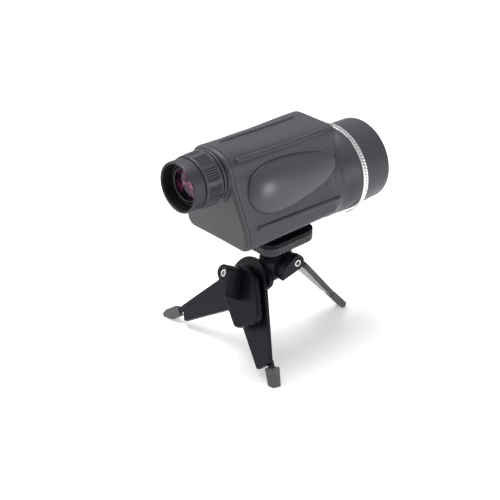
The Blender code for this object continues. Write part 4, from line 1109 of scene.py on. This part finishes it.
# outline in the leg plane: leg side, top, blunt outer end, underside
LEFT_FOOT = [(-55.3, 9.9), (-63.6, 2.9), (-65.1, -0.9), (-62.4, -3.0), (-55.3, -0.6), (-48.3, 5.8)]
LEFT_FOOT_TOP = 4.25
left_foot = []
for z in (LEFT_BOTTOM, LEFT_FOOT_TOP):
    floor_y = -z * LEG_RUN / LEG_RISE       # where the floor cuts this level
    left_foot += [(x, max(y, floor_y), z) for x, y in LEFT_FOOT]
hull("foot_left", left_foot, FOOT, LEG_AT, "foot", body="left_leg_body", replaces="left_foot",
     bevel=0.45, bevel_steps=4)
foot_tongue("foot_left_tongue", (-18.8, 34.7), (-46.6, 8.1), -1,
            (LEFT_BOTTOM + LEFT_FOOT_TOP) / 2, "left_leg_body")

# ------------------------------------------------------------------ front leg
FRONT_LOW, FRONT_HIGH, FRONT_LENGTH = 0.7, 4.6, 60.0
front_blade = fillet([(-15.0, 14.0), (-15.0, 9.5), (-13.0, 7.4), (13.0, 7.4), (15.0, 9.5),
                      (15.0, 14.0), (BLADE_HALF, FRONT_LENGTH), (-BLADE_HALF, FRONT_LENGTH)],
                     [1, 1.5, 1.5, 1.5, 1.5, 1, 1, 1], closed=True)
# the front leg is painted lighter than the other legs as painted glare
prism("front_leg_blade", hull2d(front_blade), FRONT_LOW, FRONT_HIGH, TRIPOD_PAINTED_GLARE, FRONT_LEG_AT,
      "tripod", body="front_leg_body", replaces="front_leg", bevel=0.5)
prism("front_leg_ear", hull2d(circle(0, 0, 4.6, 40) + [(10.0, 0.9), (10.0, 4.4), (6, -1.5)]),
      5.4, 11.4, TRIPOD, FRONT_EAR_AT, "tripod", body="front_leg_body", bevel=0.4)


def front_foot():
    """Block between the end of the front leg and the floor."""
    tilt = math.radians(FRONT_TILT)
    along = Vector((0, math.cos(tilt), math.sin(tilt)))
    out = Vector((0, -along.z, along.y))
    low, high = FRONT_LOW - 0.3, FRONT_HIGH + 0.3

    def at_height(z, level):
        return along * ((z - out.z * level) / along.z) + out * level

    points = []
    for x in (-1.3, 6.2):
        end = along * (FRONT_LENGTH + 0.6) + out * low
        sole = at_height(-HINGE_Z, low)
        points += [(x, end.y, end.z), (x, sole.y, -HINGE_Z), (x, sole.y + 2.3, -HINGE_Z)]
        end = along * (FRONT_LENGTH + 0.6) + out * high
        toe = at_height(-HINGE_Z + 3.4, high)
        points += [(x, end.y, end.z), (x, toe.y + 0.4, -HINGE_Z + 3.2)]
    hull("foot_front", points, FOOT, FRONT_AT, "foot", body="front_leg_body",
         replaces="front_foot", bevel=0.55, bevel_steps=4)


front_foot()
hull("foot_front_tongue",
     [(x, y, z) for x in (0.6, 4.2) for y in (FRONT_LENGTH - 2, FRONT_LENGTH + 3)
      for z in (1.5, 3.8)],
     TRIPOD, FRONT_LEG_AT, "tripod", body="front_leg_body", bevel=0.2, bevel_steps=2)

# ------------------------------------------------------------------ finishes of the inner pieces
INNER = (
    (STEEL, ("camera_screw", "rear_prism_clip", "front_prism_clip", "zoom_drive_pin",
             "left_hinge_washer", "front_hinge_washer")),
    (BRASS, ("tripod_socket", "zoom_cam_tube")),
    (CLEAR, ("rear_prism", "front_prism", "zoom_lens_rear", "zoom_lens_front",
             "objective_flint_lens")),
    (CELL, ("prism_plate", "baffle_ring", "field_stop", "eyepiece_barrel", "eye_lens_spacer",
            "zoom_cell_rear", "zoom_cell_front")))
for material, names in INNER:
    for name in names:
        slots = pieces[name].data.materials
        slots.clear()
        slots.append(material)

# ------------------------------------------------------------------ stage, camera, light
paper = floor_paper()
bpy.ops.mesh.primitive_plane_add(size=12.0, location=(0, 0, 0))
floor = bpy.context.object
floor.name = "floor"
floor.data.materials.append(paper)

YAW, PITCH = math.radians(47.70), math.radians(29.30)
CAMERA_DISTANCE = 839.4
forward = Vector((-math.sin(YAW) * math.cos(PITCH), math.cos(YAW) * math.cos(PITCH),
                  -math.sin(PITCH)))
right = Vector((math.cos(YAW), math.sin(YAW), 0))
up = right.cross(forward)
target = Vector((0, -72.28, -34.53)) + Vector((SCOPE_X, SCOPE_Y, SCOPE_Z))
scene = bpy.context.scene
lens = bpy.data.cameras.new("camera")
camera = bpy.data.objects.new("camera", lens)
scene.collection.objects.link(camera)
lens.lens = 93.6
lens.sensor_width = 36.0
lens.clip_start = 0.01
view = Matrix((right, up, -forward)).transposed().to_4x4()
view.translation = (target - forward * CAMERA_DISTANCE) * MM
camera.matrix_world = view
scene.camera = camera


def soft_light(name, direction, distance, size, power):
    """Disk light aimed at the object; direction is (right, up, back) as the camera sees it.

    Distance and size are in metres, power in watts.
    """
    light = bpy.data.lights.new(name, 'AREA')
    light.shape = 'DISK'
    light.size = size
    light.energy = power
    ob = bpy.data.objects.new(name, light)
    away = (right * direction[0] + up * direction[1] - forward * direction[2]).normalized()
    ob.location = Vector((0, 0, 0.08)) + away * distance
    ob.rotation_euler = (-away).to_track_quat('-Z', 'Y').to_euler()
    scene.collection.objects.link(ob)


soft_light("key", direction=(-0.20, 0.95, 0.30), distance=1.0, size=0.8, power=13.0)
soft_light("fill", direction=(0.93, -0.14, 0.52), distance=1.1, size=0.45, power=3.4)
soft_light("left", direction=(-1.0, 0.25, 0.30), distance=1.2, size=1.0, power=2.4)

world = bpy.data.worlds.new("studio")
scene.world = world
world.use_nodes = True
background = world.node_tree.nodes["Background"]
background.inputs["Color"].default_value = (1, 1, 1, 1)
background.inputs["Strength"].default_value = 0.60
scene.view_settings.view_transform = 'Standard'
